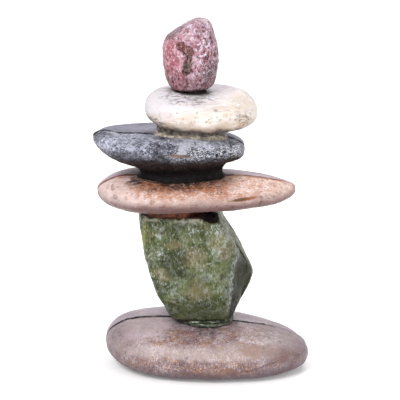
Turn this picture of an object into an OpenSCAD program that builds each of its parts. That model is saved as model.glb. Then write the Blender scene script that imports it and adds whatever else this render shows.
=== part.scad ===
// Tabletop water fountain: six cast stones stacked on a hidden sump.
// Every stone is a hollow casting in a front and a back half, joined in the plane y = 0.
// The base stone holds a tub, a small pump and the drain; the stack above lifts off the base.
// Axes: +X right, +Y back, +Z up. Origin: middle of the pad's underside. Millimetres.

/* [Base stone] */
// Height of the base stone's widest section
base_z = 23; // [22:0.5:24]
// Reach of the base stone from its middle: left, right, front, back
base_reach = [88, 118, 68, 66]; // [66:1:120]
// Fullness of the base stone below and above its widest section
base_rise = [36, 28]; // [27:0.5:38]
// Height of the flat seat on top of the base stone
base_top = 47.5; // [47:0.1:47.8]
// Wall of the base casting
base_wall = 5; // [4.5:0.25:5.5]
// Floor of the base casting, thick enough to hold the threaded inserts
base_floor = 8; // [7.5:0.25:8.5]

/* [Pillar stone] */
// Middle of the pillar stone: x and z
pillar_mid = [0, 106]; // [0:1:110]
// Reach of the pillar stone before its facets are cut: left, right, front, back
pillar_reach = [70, 64, 42, 44]; // [40:1:72]
// Underside and top of the pillar stone
pillar_seats = [51, 162]; // [50.8:0.1:163]

/* [Slab stone] */
// Middle of the slab stone: x and z
slab_mid = [-41, 183]; // [-42:0.5:184]
// Reach of the slab stone: left, right, front, back
slab_reach = [61, 136, 60, 60]; // [58:1:138]
// Underside and top of the slab stone
slab_seats = [167, 199]; // [166:0.5:200]

/* [Wedge stone] */
// Middle of the wedge stone: x and z
wedge_mid = [-31, 233]; // [-32:0.5:234]
// Reach of the wedge stone: left, right, front, back
wedge_reach = [74, 75, 50, 60]; // [48:1:76]
// Underside and top of the wedge stone
wedge_seats = [206, 241.5]; // [205.5:0.5:242]

/* [Cushion stone] */
// Middle of the cushion stone: x and z
cushion_mid = [1, 266]; // [0:0.5:267]
// Reach of the cushion stone: left, right, front, back
cushion_reach = [56, 56, 42, 44]; // [40:1:58]
// Underside and top of the cushion stone
cushion_seats = [244.5, 285]; // [244:0.5:285.5]

/* [Crown stone] */
// Middle of the crown stone: x and z
crown_mid = [-9, 322]; // [-10:0.5:323]
// Reach of the crown stone: left, right, front, back
crown_reach = [27.5, 28, 24, 24]; // [22:0.5:30]
// Underside of the crown stone
crown_bottom = 286; // [285.5:0.5:286.5]

/* [Castings] */
// Wall of the five upper castings
stone_wall = 4; // [3:0.25:4.5]
// Flat sides round each stone
sides = 40; // [24:4:44]
// Rings from a half's nose to its rim
rings = 8; // [6:1:9]

/* [Sump] */
// Half length and half width of the tub's outer wall
tub_half = [64, 38]; // [36:0.5:65]
// Thickness of the tub's wall
tub_wall = 2; // [1.5:0.25:2.5]
// Height of the tub's rim
tub_top = 34; // [32:0.5:35]
// Thickness of the soft pad under the base
pad_t = 1.2; // [1:0.1:1.4]

/* [Water path] */
// Outside radius of the riser tube and of the pump's spigot
riser_r = 4; // [3.5:0.25:4.25]
// Wall of the riser tube
riser_wall = 1; // [0.8:0.1:1.2]
// Running clearance, radial
run_gap = 0.06; // [0.03:0.01:0.09]
// Half width of the sealed seam between two bodies that lift apart
lift_gap = 0.3; // [0.3:0.1:0.5]

/* [Hidden] */
$fn = 48;

// A stone is [middle, reach, rise, squareness, [tilt, yaw], [below, above], cuts, edge].
// rise: fullness below and above the middle. squareness: seen from above, seen from the side.
// below and above: how far under and over the middle the flat seats are.
// cuts: flat facets, each [outward direction, distance]. edge: how sharp the facets' edges are.
uncut = 60;
base_stone = [
    [-8, 0, base_z], base_reach, base_rise, [2.2, 2.3], [-3.5, -7],
    [base_z - pad_t, base_top - base_z], [], 12
];
pillar_stone = [
    [pillar_mid[0], 0, pillar_mid[1]], pillar_reach, [76, 110], [2.1, 2.6], [0, 0],
    [pillar_mid[1] - pillar_seats[0], pillar_seats[1] - pillar_mid[1]],
    [
        [[-0.98, 0, -0.19], 52],
        [[-0.91, 0, -0.42], 49],
        [[0.87, 0, 0.49], 42.5],
        [[0.89, 0, -0.46], 54],
        [[0.8, -0.6, -0.1], 42],
        [[-0.1, -1, 0.12], 37],
        [[0, -0.9, -0.43], 45]
    ], 20
];
slab_stone = [
    [slab_mid[0], 0, slab_mid[1]], slab_reach, [17.5, 17], [2.2, 2.1], [0, 0],
    [slab_mid[1] - slab_seats[0], slab_seats[1] - slab_mid[1]], [[[0.05, 0, -1], 18.5]], 12
];
wedge_stone = [
    [wedge_mid[0], 0, wedge_mid[1]], wedge_reach, [30, 11], [2.2, 1.85], [-3, 0],
    [wedge_mid[1] - wedge_seats[0], wedge_seats[1] - wedge_mid[1]], [], 12
];
cushion_stone = [
    [cushion_mid[0], 0, cushion_mid[1]], cushion_reach, [22.5, 20.5], [2.2, 2.4], [-1.5, 0],
    [cushion_mid[1] - cushion_seats[0], cushion_seats[1] - cushion_mid[1]], [], 12
];
crown_stone = [
    [crown_mid[0], 0, crown_mid[1]], crown_reach, [50, 37], [2.1, 2.2], [0, 0],
    [crown_mid[1] - crown_bottom, uncut], [[[-0.7, 0, 0.72], 29.5], [[0.93, 0, 0.37], 29.5]], 14
];

// Riser and collar stand on one vertical line.
riser_xy = [7, 0];
collar_top = 50;
collar_r = 26.5;
collar_tube_r = 24;
collar_bore_r = 21.5;
collar_drop = 36;
collar_ledge = 49;
ring_z = pillar_seats[0];
ring_spigot_r = 18.5;
ring_spigot_z = 40;
ring_neck_r = 13;
ring_bore_r = 11;
ring_neck_top = 61;
nut_t = 5;
foot_nut_r = ring_neck_r + 4.5;

// Tub
tub_x = 4;
tub_plate = 3;
tub_lip = 8;
plate_gap = 0.4;
plate_top = pad_t + tub_plate;
wall_clear = 1;
screw_xy = [54, 34];
screw_r = 1.5;
screw_head_r = 2.8;
screw_head_t = 1.6;
insert_r = 2.3;
insert_top = pad_t + base_floor;

// Pump: the shaft lies along Y, the intake faces the front
pump_w = 44;
pump_h = 22;
pump_bottom = 9;
shaft_z = pump_bottom + pump_h / 2;
housing_y = [-3, 27];
cover_y = [-6, -3];
chamber_r = 11.5;
chamber_end = 3;
well_r = 7.4;
well_end = 23;
bush_r = 2.5;
shaft_r = 1;
shaft_y = [-4.5, 25];
magnet_r = 6.6;
magnet_y = [4, 22];
impeller_r = 9.5;
impeller_half = 2.2;
stub_r = 3;
stub_end = -8.6;
gate_y = [-8.3, -6.3];
gate_r = 9.5;
port_r = 2;
port_ring = 6;
strainer_y = -16;
strainer_wall = 1.2;
spigot_top = 43;
coil_lo = [-13, 4, 13];
coil_size = [12, 18, 14];
core_lo = [-9, 7, 10.1];
core_size = [23, 12, 19.8];
core_leg = 4;
core_arm = 2;

// DC inlet and its lead
inlet_at = [-35, 26];
inlet_face = 63;
inlet_r = 5.5;
inlet_flange_r = 8;
inlet_end = 47;
boss_r = 11;
inlet_boss_y = 55;
lead_r = 1.5;
lead_route = [
    [-7, 22, 15], [-7, 26, 15], [-7, 29.5, 16.5], [-8, 32, 21], [-9, 32.5, 27], [-11, 33, 32.5],
    [-14, 35, 36.2], [-19, 38.5, 37], [-25, 41, 35], [-30, 41.5, 31], [-34, 42.5, 27.5],
    [-35, 45, 26], [-35, 48, 26]
];
lead_sides = 8;
lead_steps = 3;

// Drain
drain_at = [38, 16];
drain_face = 54.5;
drain_r = 7;
drain_flange_r = 8.5;
drain_bore_r = 4.5;
drain_start = 33;
drain_boss_y = 46.5;
tub_boss_y = [34, 40];
plug_start = 46;
plug_grip_y = [57, 62];

// Tie rod through the upper stones
rod_xy = [-12, 5];
rod_r = 2.5;
rod_hole_r = 2.8;
rod_z = [147, 300];
nut_r = 4.6;
rod_nut_t = 4;
washer_r = 4.9;
washer_t = 1.2;
pillar_floor = pillar_seats[0] + stone_wall;
pillar_roof = pillar_seats[1] - stone_wall;
crown_shelf = crown_bottom + stone_wall;

// ---------- shapes that repeat ----------

function unit(v) = v / norm(v);

function total(list, i = 0) = i == len(list) ? 0 : list[i] + total(list, i + 1);

// How far out of the stone a point v (from its middle) is: 1 on the skin.
function gauge(s, v, wall, floor_wall) =
    let (
        c = cos(s[4][0]),
        n = sin(s[4][0]),
        along = v.x * cos(s[4][1]) + v.y * sin(s[4][1]),
        y = v.y * cos(s[4][1]) - v.x * sin(s[4][1]),
        x = along * c + v.z * n,
        z = v.z * c - along * n,
        a = (x < 0 ? s[1][0] : s[1][1]) - wall,
        b = (y < 0 ? s[1][2] : s[1][3]) - wall,
        h = (z < 0 ? s[2][0] : s[2][1]) - wall,
        plan = pow(abs(x) / a, s[3][0]) + pow(abs(y) / b, s[3][0]),
        egg = pow(pow(plan, s[3][1] / s[3][0]) + pow(abs(z) / h, s[3][1]), 1 / s[3][1]),
        facets = [for (cut = s[6]) pow(max(0, v * unit(cut[0])) / (cut[1] - wall), s[7])],
        body = pow(pow(egg, s[7]) + total(facets), 1 / s[7])
    )
    max(body, -v.z / (s[5][0] - floor_wall), v.z / (s[5][1] - wall));

// A point of the skin: angle from the nose on -Y, then round the stone.
function skin(s, from_nose, round_it, wall, floor_wall) =
    let (
        u = [sin(from_nose) * cos(round_it), -cos(from_nose), sin(from_nose) * sin(round_it)],
        x = u.x * s[1][u.x < 0 ? 0 : 1],
        y = u.y * s[1][u.y < 0 ? 2 : 3],
        z = u.z * s[2][u.z < 0 ? 0 : 1],
        c = cos(s[4][0]),
        n = sin(s[4][0]),
        v = [x * c - z * n, y, x * n + z * c]
    )
    s[0] + v / gauge(s, v, wall, floor_wall);

function turned(face, flip) = flip ? [face[2], face[1], face[0]] : face;

// Triangles of a dome: its nose point is first, then count rings of points.
function dome(first, count, flip) = concat(
    [for (k = [0 : sides - 1]) turned([first, first + 1 + (k + 1) % sides, first + 1 + k], flip)],
    [
        for (j = [0 : count - 2], k = [0 : sides - 1])
        let (
            a = first + 1 + j * sides + k,
            b = first + 1 + j * sides + (k + 1) % sides
        )
        each [turned([a, b, b + sides], flip), turned([a, b + sides, a + sides], flip)]
    ]
);

// Half of a hollow stone: back is false for the half on -Y.
module half_stone(s, back, wall, floor_wall) {
    inner_rings = rings - 3;
    nose = back ? 180 : 0;
    turn = back ? -90 : 90;
    function layer(count, w, f) = [
        for (j = [0 : count], k = [0 : j == 0 ? 0 : sides - 1])
        skin(s, nose + turn * j / count, 360 * k / sides, w, f)
    ];
    outside = layer(rings, 0, 0);
    inside = layer(inner_rings, wall, floor_wall);
    start = len(outside);
    rim_out = start - sides;
    rim_in = start + len(inside) - sides;
    rim = [
        for (k = [0 : sides - 1])
        let (next = (k + 1) % sides)
        each [
            turned([rim_out + k, rim_out + next, rim_in + next], back),
            turned([rim_out + k, rim_in + next, rim_in + k], back)
        ]
    ];
    polyhedron(
        points = concat(outside, inside),
        faces = concat(dome(0, rings, back), dome(start, inner_rings, !back), rim)
    );
}

// Rounded oblong outline, between an ellipse and a rectangle.
module oblong(half, squareness = 3, count = 48) {
    function part(v) = sign(v) * pow(abs(v), 2 / squareness);
    polygon([
        for (i = [0 : count - 1])
        let (t = 360 * i / count)
        [half[0] * part(cos(t)), half[1] * part(sin(t))]
    ]);
}

// Rod or hole along +Y from y0 to y1 at [x, z].
module along_y(at, r, y0, y1) {
    translate([at[0], y1, at[1]])
        rotate([90, 0, 0])
            cylinder(r = r, h = y1 - y0);
}

// Upright rod or hole from z0 to z1 at [x, y].
module upright(at, r, z0, z1) {
    translate([at[0], at[1], z0])
        cylinder(r = r, h = z1 - z0);
}

// Hexagonal nut with its bore.
module hex_nut(r, bore, t) {
    difference() {
        cylinder(r = r, h = t, $fn = 6);
        translate([0, 0, -1])
            cylinder(r = bore, h = t + 2);
    }
}

// Pump outline with clipped corners, seen from the front, with its thickness along Y.
module pump_slice(y0, y1, inset = 0) {
    clip = 3;
    w = pump_w / 2 - inset;
    h = pump_h / 2 - inset;
    translate([riser_xy[0], y1, shaft_z])
        rotate([90, 0, 0])
            linear_extrude(y1 - y0)
                polygon([
                    [-w + clip, -h], [w - clip, -h], [w, -h + clip], [w, h - clip],
                    [w - clip, h], [-w + clip, h], [-w, h - clip], [-w, -h + clip]
                ]);
}

shaft_at = [riser_xy[0], shaft_z];

function on_ring(at, r, a) = [at[0] + r * cos(a), at[1] + r * sin(a)];

module ports(y0, y1) {
    for (a = [45 : 90 : 315])
        along_y(on_ring(shaft_at, port_ring, a), port_r, y0, y1);
}

module at_screws() {
    for (sx = [-1, 1], sy = [-1, 1])
        translate([tub_x + sx * screw_xy[0], sy * screw_xy[1], 0])
            children();
}

// ---------- base ----------

module base_openings() {
    // Recess for the tub's plate, and the way in for the tub itself
    translate([tub_x, 0, 0])
        linear_extrude(plate_top)
            oblong([tub_half[0] + tub_lip + plate_gap, tub_half[1] + tub_lip + plate_gap]);
    translate([tub_x, 0, 0])
        linear_extrude(insert_top + 2)
            oblong([tub_half[0] + wall_clear, tub_half[1] + wall_clear]);
    // Notch for the tub's drain boss
    translate([drain_at[0] - drain_flange_r - wall_clear, 0, 0])
        cube([2 * (drain_flange_r + wall_clear), tub_boss_y[1] + wall_clear, insert_top + 2]);
    upright(riser_xy, collar_tube_r, collar_drop, base_top + 1);
    at_screws()
        cylinder(r = insert_r, h = insert_top + 2);
}

module base_stone_front() {
    color("#a98f88")
        difference() {
            half_stone(base_stone, false, base_wall, base_floor);
            base_openings();
        }
}

// The back half also carries the DC inlet and the drain, each on its own flat boss.
module base_stone_back() {
    outside = 90;
    color("#8f8087")
        difference() {
            union() {
                half_stone(base_stone, true, base_wall, base_floor);
                along_y(inlet_at, boss_r, inlet_boss_y, inlet_face - 1.5);
                along_y(drain_at, boss_r, drain_boss_y, drain_face - 1);
            }
            base_openings();
            along_y(inlet_at, inlet_r + 0.1, 40, outside);
            along_y(inlet_at, inlet_flange_r + 0.4, inlet_face, outside);
            along_y(drain_at, drain_r + 0.1, 40, outside);
            along_y(drain_at, drain_flange_r + 0.4, drain_face, outside);
        }
}

module sump_tub() {
    color("#3a3d40")
        difference() {
            union() {
                translate([tub_x, 0, pad_t])
                    linear_extrude(tub_plate)
                        oblong([tub_half[0] + tub_lip, tub_half[1] + tub_lip]);
                translate([tub_x, 0, plate_top])
                    linear_extrude(tub_top - plate_top)
                        difference() {
                            oblong(tub_half);
                            oblong([tub_half[0] - tub_wall, tub_half[1] - tub_wall]);
                        }
                along_y(drain_at, drain_flange_r, tub_boss_y[0], tub_boss_y[1]);
            }
            along_y(drain_at, drain_r, tub_boss_y[0] - 4, tub_boss_y[1] + 4);
            at_screws() {
                cylinder(r = screw_r + 0.1, h = plate_top + 1);
                cylinder(r = screw_head_r + 0.2, h = pad_t + screw_head_t + 0.2);
            }
        }
}

module tub_screws() {
    color("#b9bcc0")
        at_screws()
            translate([0, 0, pad_t + 0.2]) {
                cylinder(r = screw_head_r, h = screw_head_t);
                cylinder(r = screw_r, h = insert_top - pad_t - 0.7);
            }
}

module threaded_inserts() {
    color("#b5954a")
        at_screws()
            translate([0, 0, plate_top])
                difference() {
                    cylinder(r = insert_r, h = insert_top - plate_top);
                    translate([0, 0, -1])
                        cylinder(r = screw_r, h = insert_top - plate_top + 2);
                }
}

module base_pad() {
    access_r = 4;
    color("#26262a")
        difference() {
            translate([tub_x, 0, 0])
                linear_extrude(pad_t)
                    oblong([tub_half[0] + tub_lip - 1, tub_half[1] + tub_lip - 1]);
            at_screws()
                translate([0, 0, -1])
                    cylinder(r = access_r, h = pad_t + 2);
        }
}

// The collar lines the hole in the base stone; its ledge carries the stack.
module drain_collar() {
    notch_w = 7;
    color("#7d8f78")
        difference() {
            translate([riser_xy[0], riser_xy[1], 0])
                rotate_extrude()
                    polygon([
                        [collar_bore_r, collar_drop], [collar_tube_r, collar_drop],
                        [collar_tube_r, base_top], [collar_r, base_top],
                        [collar_r, collar_top], [collar_bore_r, collar_top]
                    ]);
            for (a = [0 : 60 : 120])
                translate([riser_xy[0], riser_xy[1], collar_ledge + 5])
                    rotate([0, 0, a])
                        cube([3 * collar_r, notch_w, 10], center = true);
        }
}

module dc_inlet() {
    socket_r = 2.75;
    pin_r = 1;
    flange_t = 1.6;
    color("#1d1d1f")
        difference() {
            union() {
                along_y(inlet_at, inlet_flange_r, inlet_face, inlet_face + flange_t);
                along_y(inlet_at, inlet_r, inlet_end, inlet_face + flange_t);
            }
            along_y(inlet_at, socket_r, inlet_end + 5, inlet_face + 3);
            along_y(inlet_at, lead_r, inlet_end - 1, inlet_end + 2);
        }
    color("#b9bcc0")
        along_y(inlet_at, pin_r, inlet_end + 4, inlet_face + 1);
}

module inlet_seal() {
    color("#111113")
        difference() {
            along_y(inlet_at, inlet_flange_r, inlet_boss_y - 1, inlet_boss_y);
            along_y(inlet_at, inlet_r, inlet_boss_y - 2, inlet_boss_y + 1);
        }
}

module inlet_nut() {
    nut_y = inlet_boss_y - 1;
    color("#b9bcc0")
        translate([inlet_at[0], nut_y, inlet_at[1]])
            rotate([90, 0, 0])
                hex_nut(inlet_flange_r + 1, inlet_r, nut_t - 1);
}

// Smooth curve through the route's points, by Catmull and Rom's rule.
function route_point(p, i, t) =
    let (
        a = p[max(0, i - 1)],
        b = p[i],
        c = p[min(len(p) - 1, i + 1)],
        d = p[min(len(p) - 1, i + 2)]
    )
    0.5 * (2 * b + (c - a) * t + (2 * a - 5 * b + 4 * c - d) * t * t
        + (3 * b - a - 3 * c + d) * t * t * t);

module pump_lead() {
    last = len(lead_route) - 1;
    path = concat(
        [for (i = [0 : last - 1], k = [0 : lead_steps - 1]) route_point(lead_route, i, k / lead_steps)],
        [lead_route[last]]
    );
    n = len(path);
    points = [
        for (i = [0 : n - 1])
        let (
            ahead = unit(path[min(n - 1, i + 1)] - path[max(0, i - 1)]),
            side = unit(cross(ahead, [1, 1, 1])),
            other = cross(ahead, side)
        )
        for (k = [0 : lead_sides - 1])
        path[i] + lead_r * (side * cos(360 * k / lead_sides) + other * sin(360 * k / lead_sides))
    ];
    walls = [
        for (i = [0 : n - 2], k = [0 : lead_sides - 1])
        let (
            a = i * lead_sides + k,
            b = i * lead_sides + (k + 1) % lead_sides
        )
        each [[a, b, b + lead_sides], [a, b + lead_sides, a + lead_sides]]
    ];
    start_cap = [for (k = [lead_sides - 1 : -1 : 0]) k];
    end_cap = [for (k = [0 : lead_sides - 1]) (n - 1) * lead_sides + k];
    color("#222226")
        polyhedron(points = points, faces = concat(walls, [start_cap, end_cap]));
}

module drain_bush() {
    flange_t = 2;
    color("#3a3d40")
        difference() {
            union() {
                along_y(drain_at, drain_r, drain_start, drain_face);
                along_y(drain_at, drain_flange_r, drain_face, drain_face + flange_t);
            }
            along_y(drain_at, drain_bore_r, drain_start - 1, drain_face + flange_t + 1);
        }
}

module drain_plug() {
    color("#55585c") {
        along_y(drain_at, drain_bore_r - run_gap, plug_start, plug_grip_y[0]);
        along_y(drain_at, drain_r - 1, plug_grip_y[0], plug_grip_y[1]);
    }
}

// ---------- pump ----------

module stator_shape() {
    top = core_lo[2] + core_size[2] - core_arm;
    translate(core_lo)
        cube([core_leg, core_size[1], core_size[2]]);
    for (z = [core_lo[2], top])
        translate([core_lo[0], core_lo[1], z])
            cube([core_size[0], core_size[1], core_arm]);
}

module pump_housing() {
    color("#2b2e31")
        difference() {
            union() {
                pump_slice(housing_y[0], housing_y[1]);
                // The spigot stops on the block's top, clear of the stator's arm
                upright(riser_xy, riser_r, pump_bottom + pump_h - 1, spigot_top);
                along_y([riser_xy[0], pump_bottom + pump_h - 2], 2, housing_y[0], housing_y[0] + 1);
            }
            along_y(shaft_at, chamber_r, housing_y[0] - 1, chamber_end);
            along_y(shaft_at, well_r, chamber_end - 1, well_end);
            along_y(shaft_at, bush_r, well_end - 1, housing_y[1] - 1);
            upright(riser_xy, riser_r - 1.2, shaft_z, spigot_top + 1);
            along_y([lead_route[0].x, lead_route[0].z], lead_r, coil_lo.y + coil_size.y - 1, housing_y[1] + 1);
            difference() {
                along_y(shaft_at, chamber_r + 2.2, housing_y[0] - 1, housing_y[0] + 1);
                along_y(shaft_at, chamber_r + 1, housing_y[0] - 2, housing_y[0] + 2);
            }
            stator_shape();
            translate(coil_lo)
                cube(coil_size);
        }
}

module pump_seal() {
    color("#101012")
        difference() {
            along_y(shaft_at, chamber_r + 2.2, housing_y[0], housing_y[0] + 1);
            along_y(shaft_at, chamber_r + 1, housing_y[0] - 1, housing_y[0] + 2);
        }
}

module stator_core() {
    color("#8d8f92")
        stator_shape();
}

module stator_coil() {
    color("#a5642f")
        difference() {
            translate(coil_lo)
                cube(coil_size);
            translate([core_lo[0], core_lo[1], core_lo[2]])
                cube([core_leg, core_size[1], core_size[2]]);
        }
}

module pump_cover() {
    head_t = 0.8;
    color("#34373b")
        difference() {
            union() {
                pump_slice(cover_y[0], cover_y[1]);
                along_y(shaft_at, stub_r, stub_end, cover_y[0]);
                along_y(shaft_at, stub_r + 1, stub_end - head_t, stub_end);
            }
            ports(cover_y[0] - 1, cover_y[1] + 1);
            along_y(shaft_at, bush_r, cover_y[1] - 2, cover_y[1] + 1);
        }
}

module rotor_shaft() {
    color("#e8e6e0")
        along_y(shaft_at, shaft_r, shaft_y[0], shaft_y[1]);
}

module shaft_bushes() {
    color("#141416")
        difference() {
            union() {
                along_y(shaft_at, bush_r, cover_y[1] - 2, cover_y[1]);
                along_y(shaft_at, bush_r, well_end, housing_y[1] - 1);
            }
            along_y(shaft_at, shaft_r, shaft_y[0], shaft_y[1]);
        }
}

module rotor_magnet() {
    color("#4a4744")
        difference() {
            along_y(shaft_at, magnet_r, magnet_y[0], magnet_y[1]);
            along_y(shaft_at, shaft_r + run_gap, magnet_y[0] - 1, magnet_y[1] + 1);
        }
}

module impeller() {
    blade_t = 1;
    blades = 6;
    color("#d9d9d4")
        difference() {
            union() {
                along_y(shaft_at, stub_r, -impeller_half, magnet_y[0]);
                along_y(shaft_at, impeller_r, impeller_half - 1, impeller_half);
                for (k = [0 : blades - 1])
                    translate([shaft_at[0], 0, shaft_at[1]])
                        rotate([0, 360 * k / blades, 0])
                            translate([stub_r - 1, -impeller_half + 0.4, -blade_t / 2])
                                cube([impeller_r - stub_r + 0.5, 2 * impeller_half - 1, blade_t]);
            }
            along_y(shaft_at, shaft_r + run_gap, -impeller_half - 1, magnet_y[0] + 1);
        }
}

// Shutter with the cover's four ports and a small lever.
module flow_regulator() {
    lever_r = 11.5;
    lever_w = 2.4;
    color("#6f7478")
        difference() {
            union() {
                along_y(shaft_at, gate_r, gate_y[0], gate_y[1]);
                translate([shaft_at[0], gate_y[0], shaft_at[1] - lever_w / 2])
                    cube([lever_r, gate_y[1] - gate_y[0], lever_w]);
            }
            along_y(shaft_at, stub_r + run_gap, gate_y[0] - 1, gate_y[1] + 1);
            ports(gate_y[0] - 1, gate_y[1] + 1);
        }
}

module intake_strainer() {
    slots = 9;
    slot_w = 1.8;
    pitch = 4;
    color("#26282b")
        difference() {
            pump_slice(strainer_y, cover_y[0]);
            pump_slice(strainer_y + strainer_wall, cover_y[0] + 1, strainer_wall);
            for (k = [0 : slots - 1])
                translate([riser_xy[0] + (k - (slots - 1) / 2) * pitch - slot_w / 2, strainer_y - 1, pump_bottom + 4])
                    cube([slot_w, strainer_wall + 2, pump_h - 8]);
        }
}

module suction_cups() {
    lip_r = 5;
    neck_r = 2.5;
    dome_z = 7.5;
    color("#3c3c40")
        for (x = [-9, 23], y = [4, 20])
            translate([x, y, 0])
                rotate_extrude()
                    polygon([
                        [0, plate_top + 1], [3.5, plate_top], [lip_r, plate_top],
                        [neck_r, dome_z], [neck_r, pump_bottom], [0, pump_bottom]
                    ]);
}

// ---------- water path in the stack ----------

// Seat ring under the pillar stone, with channels for the water that runs back.
module foot_ring() {
    color("#7d8f78")
        translate([riser_xy[0], riser_xy[1], 0])
            rotate_extrude()
                polygon([
                    [ring_bore_r, ring_spigot_z], [ring_spigot_r, ring_spigot_z],
                    [ring_spigot_r, collar_top], [collar_r, collar_top],
                    [collar_r, ring_z], [ring_neck_r, ring_z],
                    [ring_neck_r, ring_neck_top], [ring_bore_r, ring_neck_top]
                ]);
}

module foot_nut() {
    color("#3a3d40")
        translate([riser_xy[0], riser_xy[1], pillar_floor])
            hex_nut(foot_nut_r, ring_neck_r, nut_t);
}

module riser_socket() {
    socket_wall = 2.5;
    socket_z = [34, 49];
    color("#1c1c1e")
        difference() {
            upright(riser_xy, riser_r + socket_wall, socket_z[0], socket_z[1]);
            upright(riser_xy, riser_r + run_gap, socket_z[0] - 1, spigot_top + lift_gap);
            upright(riser_xy, riser_r, spigot_top, socket_z[1] + 1);
        }
}

module riser_tube() {
    color("#c9d2d4")
        difference() {
            upright(riser_xy, riser_r, spigot_top + lift_gap, pillar_roof);
            upright(riser_xy, riser_r - riser_wall, spigot_top - 1, pillar_roof + 1);
        }
}

// Elbow that leaves the pillar's roof and looks out of the gap under the slab.
module outlet_nozzle() {
    hub_r = 3.2;
    hub_top = slab_seats[0] - 0.2;
    spout_r = 2.2;
    spout_bore = 1.4;
    spout_z = pillar_seats[1] + 2.5;
    spout_len = 32;
    spout_turn = 12;
    module spout(r, from, len) {
        translate([riser_xy[0], riser_xy[1], spout_z])
            rotate([90, 0, spout_turn])
                translate([0, 0, from])
                    cylinder(r = r, h = len);
    }
    color("#151517")
        difference() {
            union() {
                upright(riser_xy, riser_r, pillar_roof, pillar_seats[1]);
                upright(riser_xy, hub_r, pillar_seats[1] - 1, hub_top);
                spout(spout_r, 0, spout_len);
            }
            upright(riser_xy, spout_bore + 0.5, pillar_roof - 1, spout_z);
            spout(spout_bore, 0, spout_len + 1);
        }
}

// ---------- upper stones ----------

module rod_hole() {
    upright(rod_xy, rod_hole_r, rod_z[0], rod_z[1]);
}

module pillar_openings() {
    upright(riser_xy, ring_neck_r, ring_z - 1, pillar_floor + 2);
    // Spot face for the foot nut
    upright(riser_xy, foot_nut_r + 0.5, pillar_floor, pillar_floor + nut_t + 2);
    upright(riser_xy, riser_r, pillar_roof - 2, pillar_seats[1] + 1);
    rod_hole();
}

module pillar_stone_front() {
    color("#6d7154")
        difference() {
            half_stone(pillar_stone, false, stone_wall, stone_wall);
            pillar_openings();
        }
}

module pillar_stone_back() {
    color("#777a66")
        difference() {
            half_stone(pillar_stone, true, stone_wall, stone_wall);
            pillar_openings();
        }
}

module drilled_half(s, back, tint) {
    color(tint)
        difference() {
            half_stone(s, back, stone_wall, stone_wall);
            if (back)
                rod_hole();
        }
}

module slab_stone_front() {
    drilled_half(slab_stone, false, "#c98f6e");
}

module slab_stone_back() {
    drilled_half(slab_stone, true, "#b9a1a1");
}

module wedge_stone_front() {
    drilled_half(wedge_stone, false, "#6f7078");
}

module wedge_stone_back() {
    drilled_half(wedge_stone, true, "#8d8896");
}

module cushion_stone_front() {
    drilled_half(cushion_stone, false, "#e4dcc8");
}

module cushion_stone_back() {
    drilled_half(cushion_stone, true, "#d8d3da");
}

module crown_stone_front() {
    drilled_half(crown_stone, false, "#b5737b");
}

module crown_stone_back() {
    drilled_half(crown_stone, true, "#b08d98");
}

// Cast neck between two stones: a short elliptical block with the rod's hole.
module neck(mid, half, z0, z1) {
    difference() {
        translate([mid[0], mid[1], z0])
            linear_extrude(z1 - z0)
                oblong(half, 2);
        upright(rod_xy, rod_hole_r, z0 - 1, z1 + 1);
    }
}

module lower_neck() {
    color("#6b3d30")
        neck([-27, 0], [29, 27], pillar_seats[1], slab_seats[0]);
}

module middle_neck() {
    color("#2d2b30")
        neck([-18, 0], [42, 29], slab_seats[1], wedge_seats[0]);
}

module upper_neck() {
    color("#cdbfa0")
        neck([-12, 0], [38, 25], wedge_seats[1], cushion_seats[0]);
}

module top_neck() {
    color("#4c4038")
        neck([-9, 0], [19, 15], cushion_seats[1], crown_bottom);
}

module tie_rod() {
    color("#c6c8cb")
        upright(rod_xy, rod_r, rod_z[0], rod_z[1]);
}

module rod_washers() {
    color("#b9bcc0")
        difference() {
            union() {
                upright(rod_xy, washer_r, pillar_roof - washer_t, pillar_roof);
                upright(rod_xy, washer_r, crown_shelf, crown_shelf + washer_t);
            }
            upright(rod_xy, rod_r + 0.1, rod_z[0], rod_z[1]);
        }
}

module rod_nuts() {
    color("#aeb1b5")
        for (z = [pillar_roof - washer_t - rod_nut_t, crown_shelf + washer_t])
            translate([rod_xy[0], rod_xy[1], z])
                hex_nut(nut_r, rod_r, rod_nut_t);
}

base_stone_front();
base_stone_back();
sump_tub();
tub_screws();
threaded_inserts();
base_pad();
drain_collar();
dc_inlet();
inlet_seal();
inlet_nut();
pump_lead();
drain_bush();
drain_plug();
pump_housing();
pump_cover();
pump_seal();
stator_core();
stator_coil();
rotor_shaft();
shaft_bushes();
intake_strainer();
suction_cups();
rotor_magnet();
impeller();
flow_regulator();
foot_ring();
foot_nut();
riser_socket();
riser_tube();
outlet_nozzle();
pillar_stone_front();
pillar_stone_back();
lower_neck();
slab_stone_front();
slab_stone_back();
middle_neck();
wedge_stone_front();
wedge_stone_back();
upper_neck();
cushion_stone_front();
cushion_stone_back();
top_neck();
crown_stone_front();
crown_stone_back();
tie_rod();
rod_nuts();
rod_washers();
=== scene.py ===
"""Looks of the tabletop water fountain: six cast stones, their necks and the fittings inside the base.

Every stone is the CAD casting's own formula at a fine pitch, carved with grain, pits and hollows, hollowed,
and split into its front and back half. Lengths are millimetres until a mesh is made, which is in metres.
"""
import math
from functools import reduce
from itertools import product

import bpy
import numpy as np
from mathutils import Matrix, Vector
from mathutils.bvhtree import BVHTree
from mathutils.kdtree import KDTree


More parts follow.
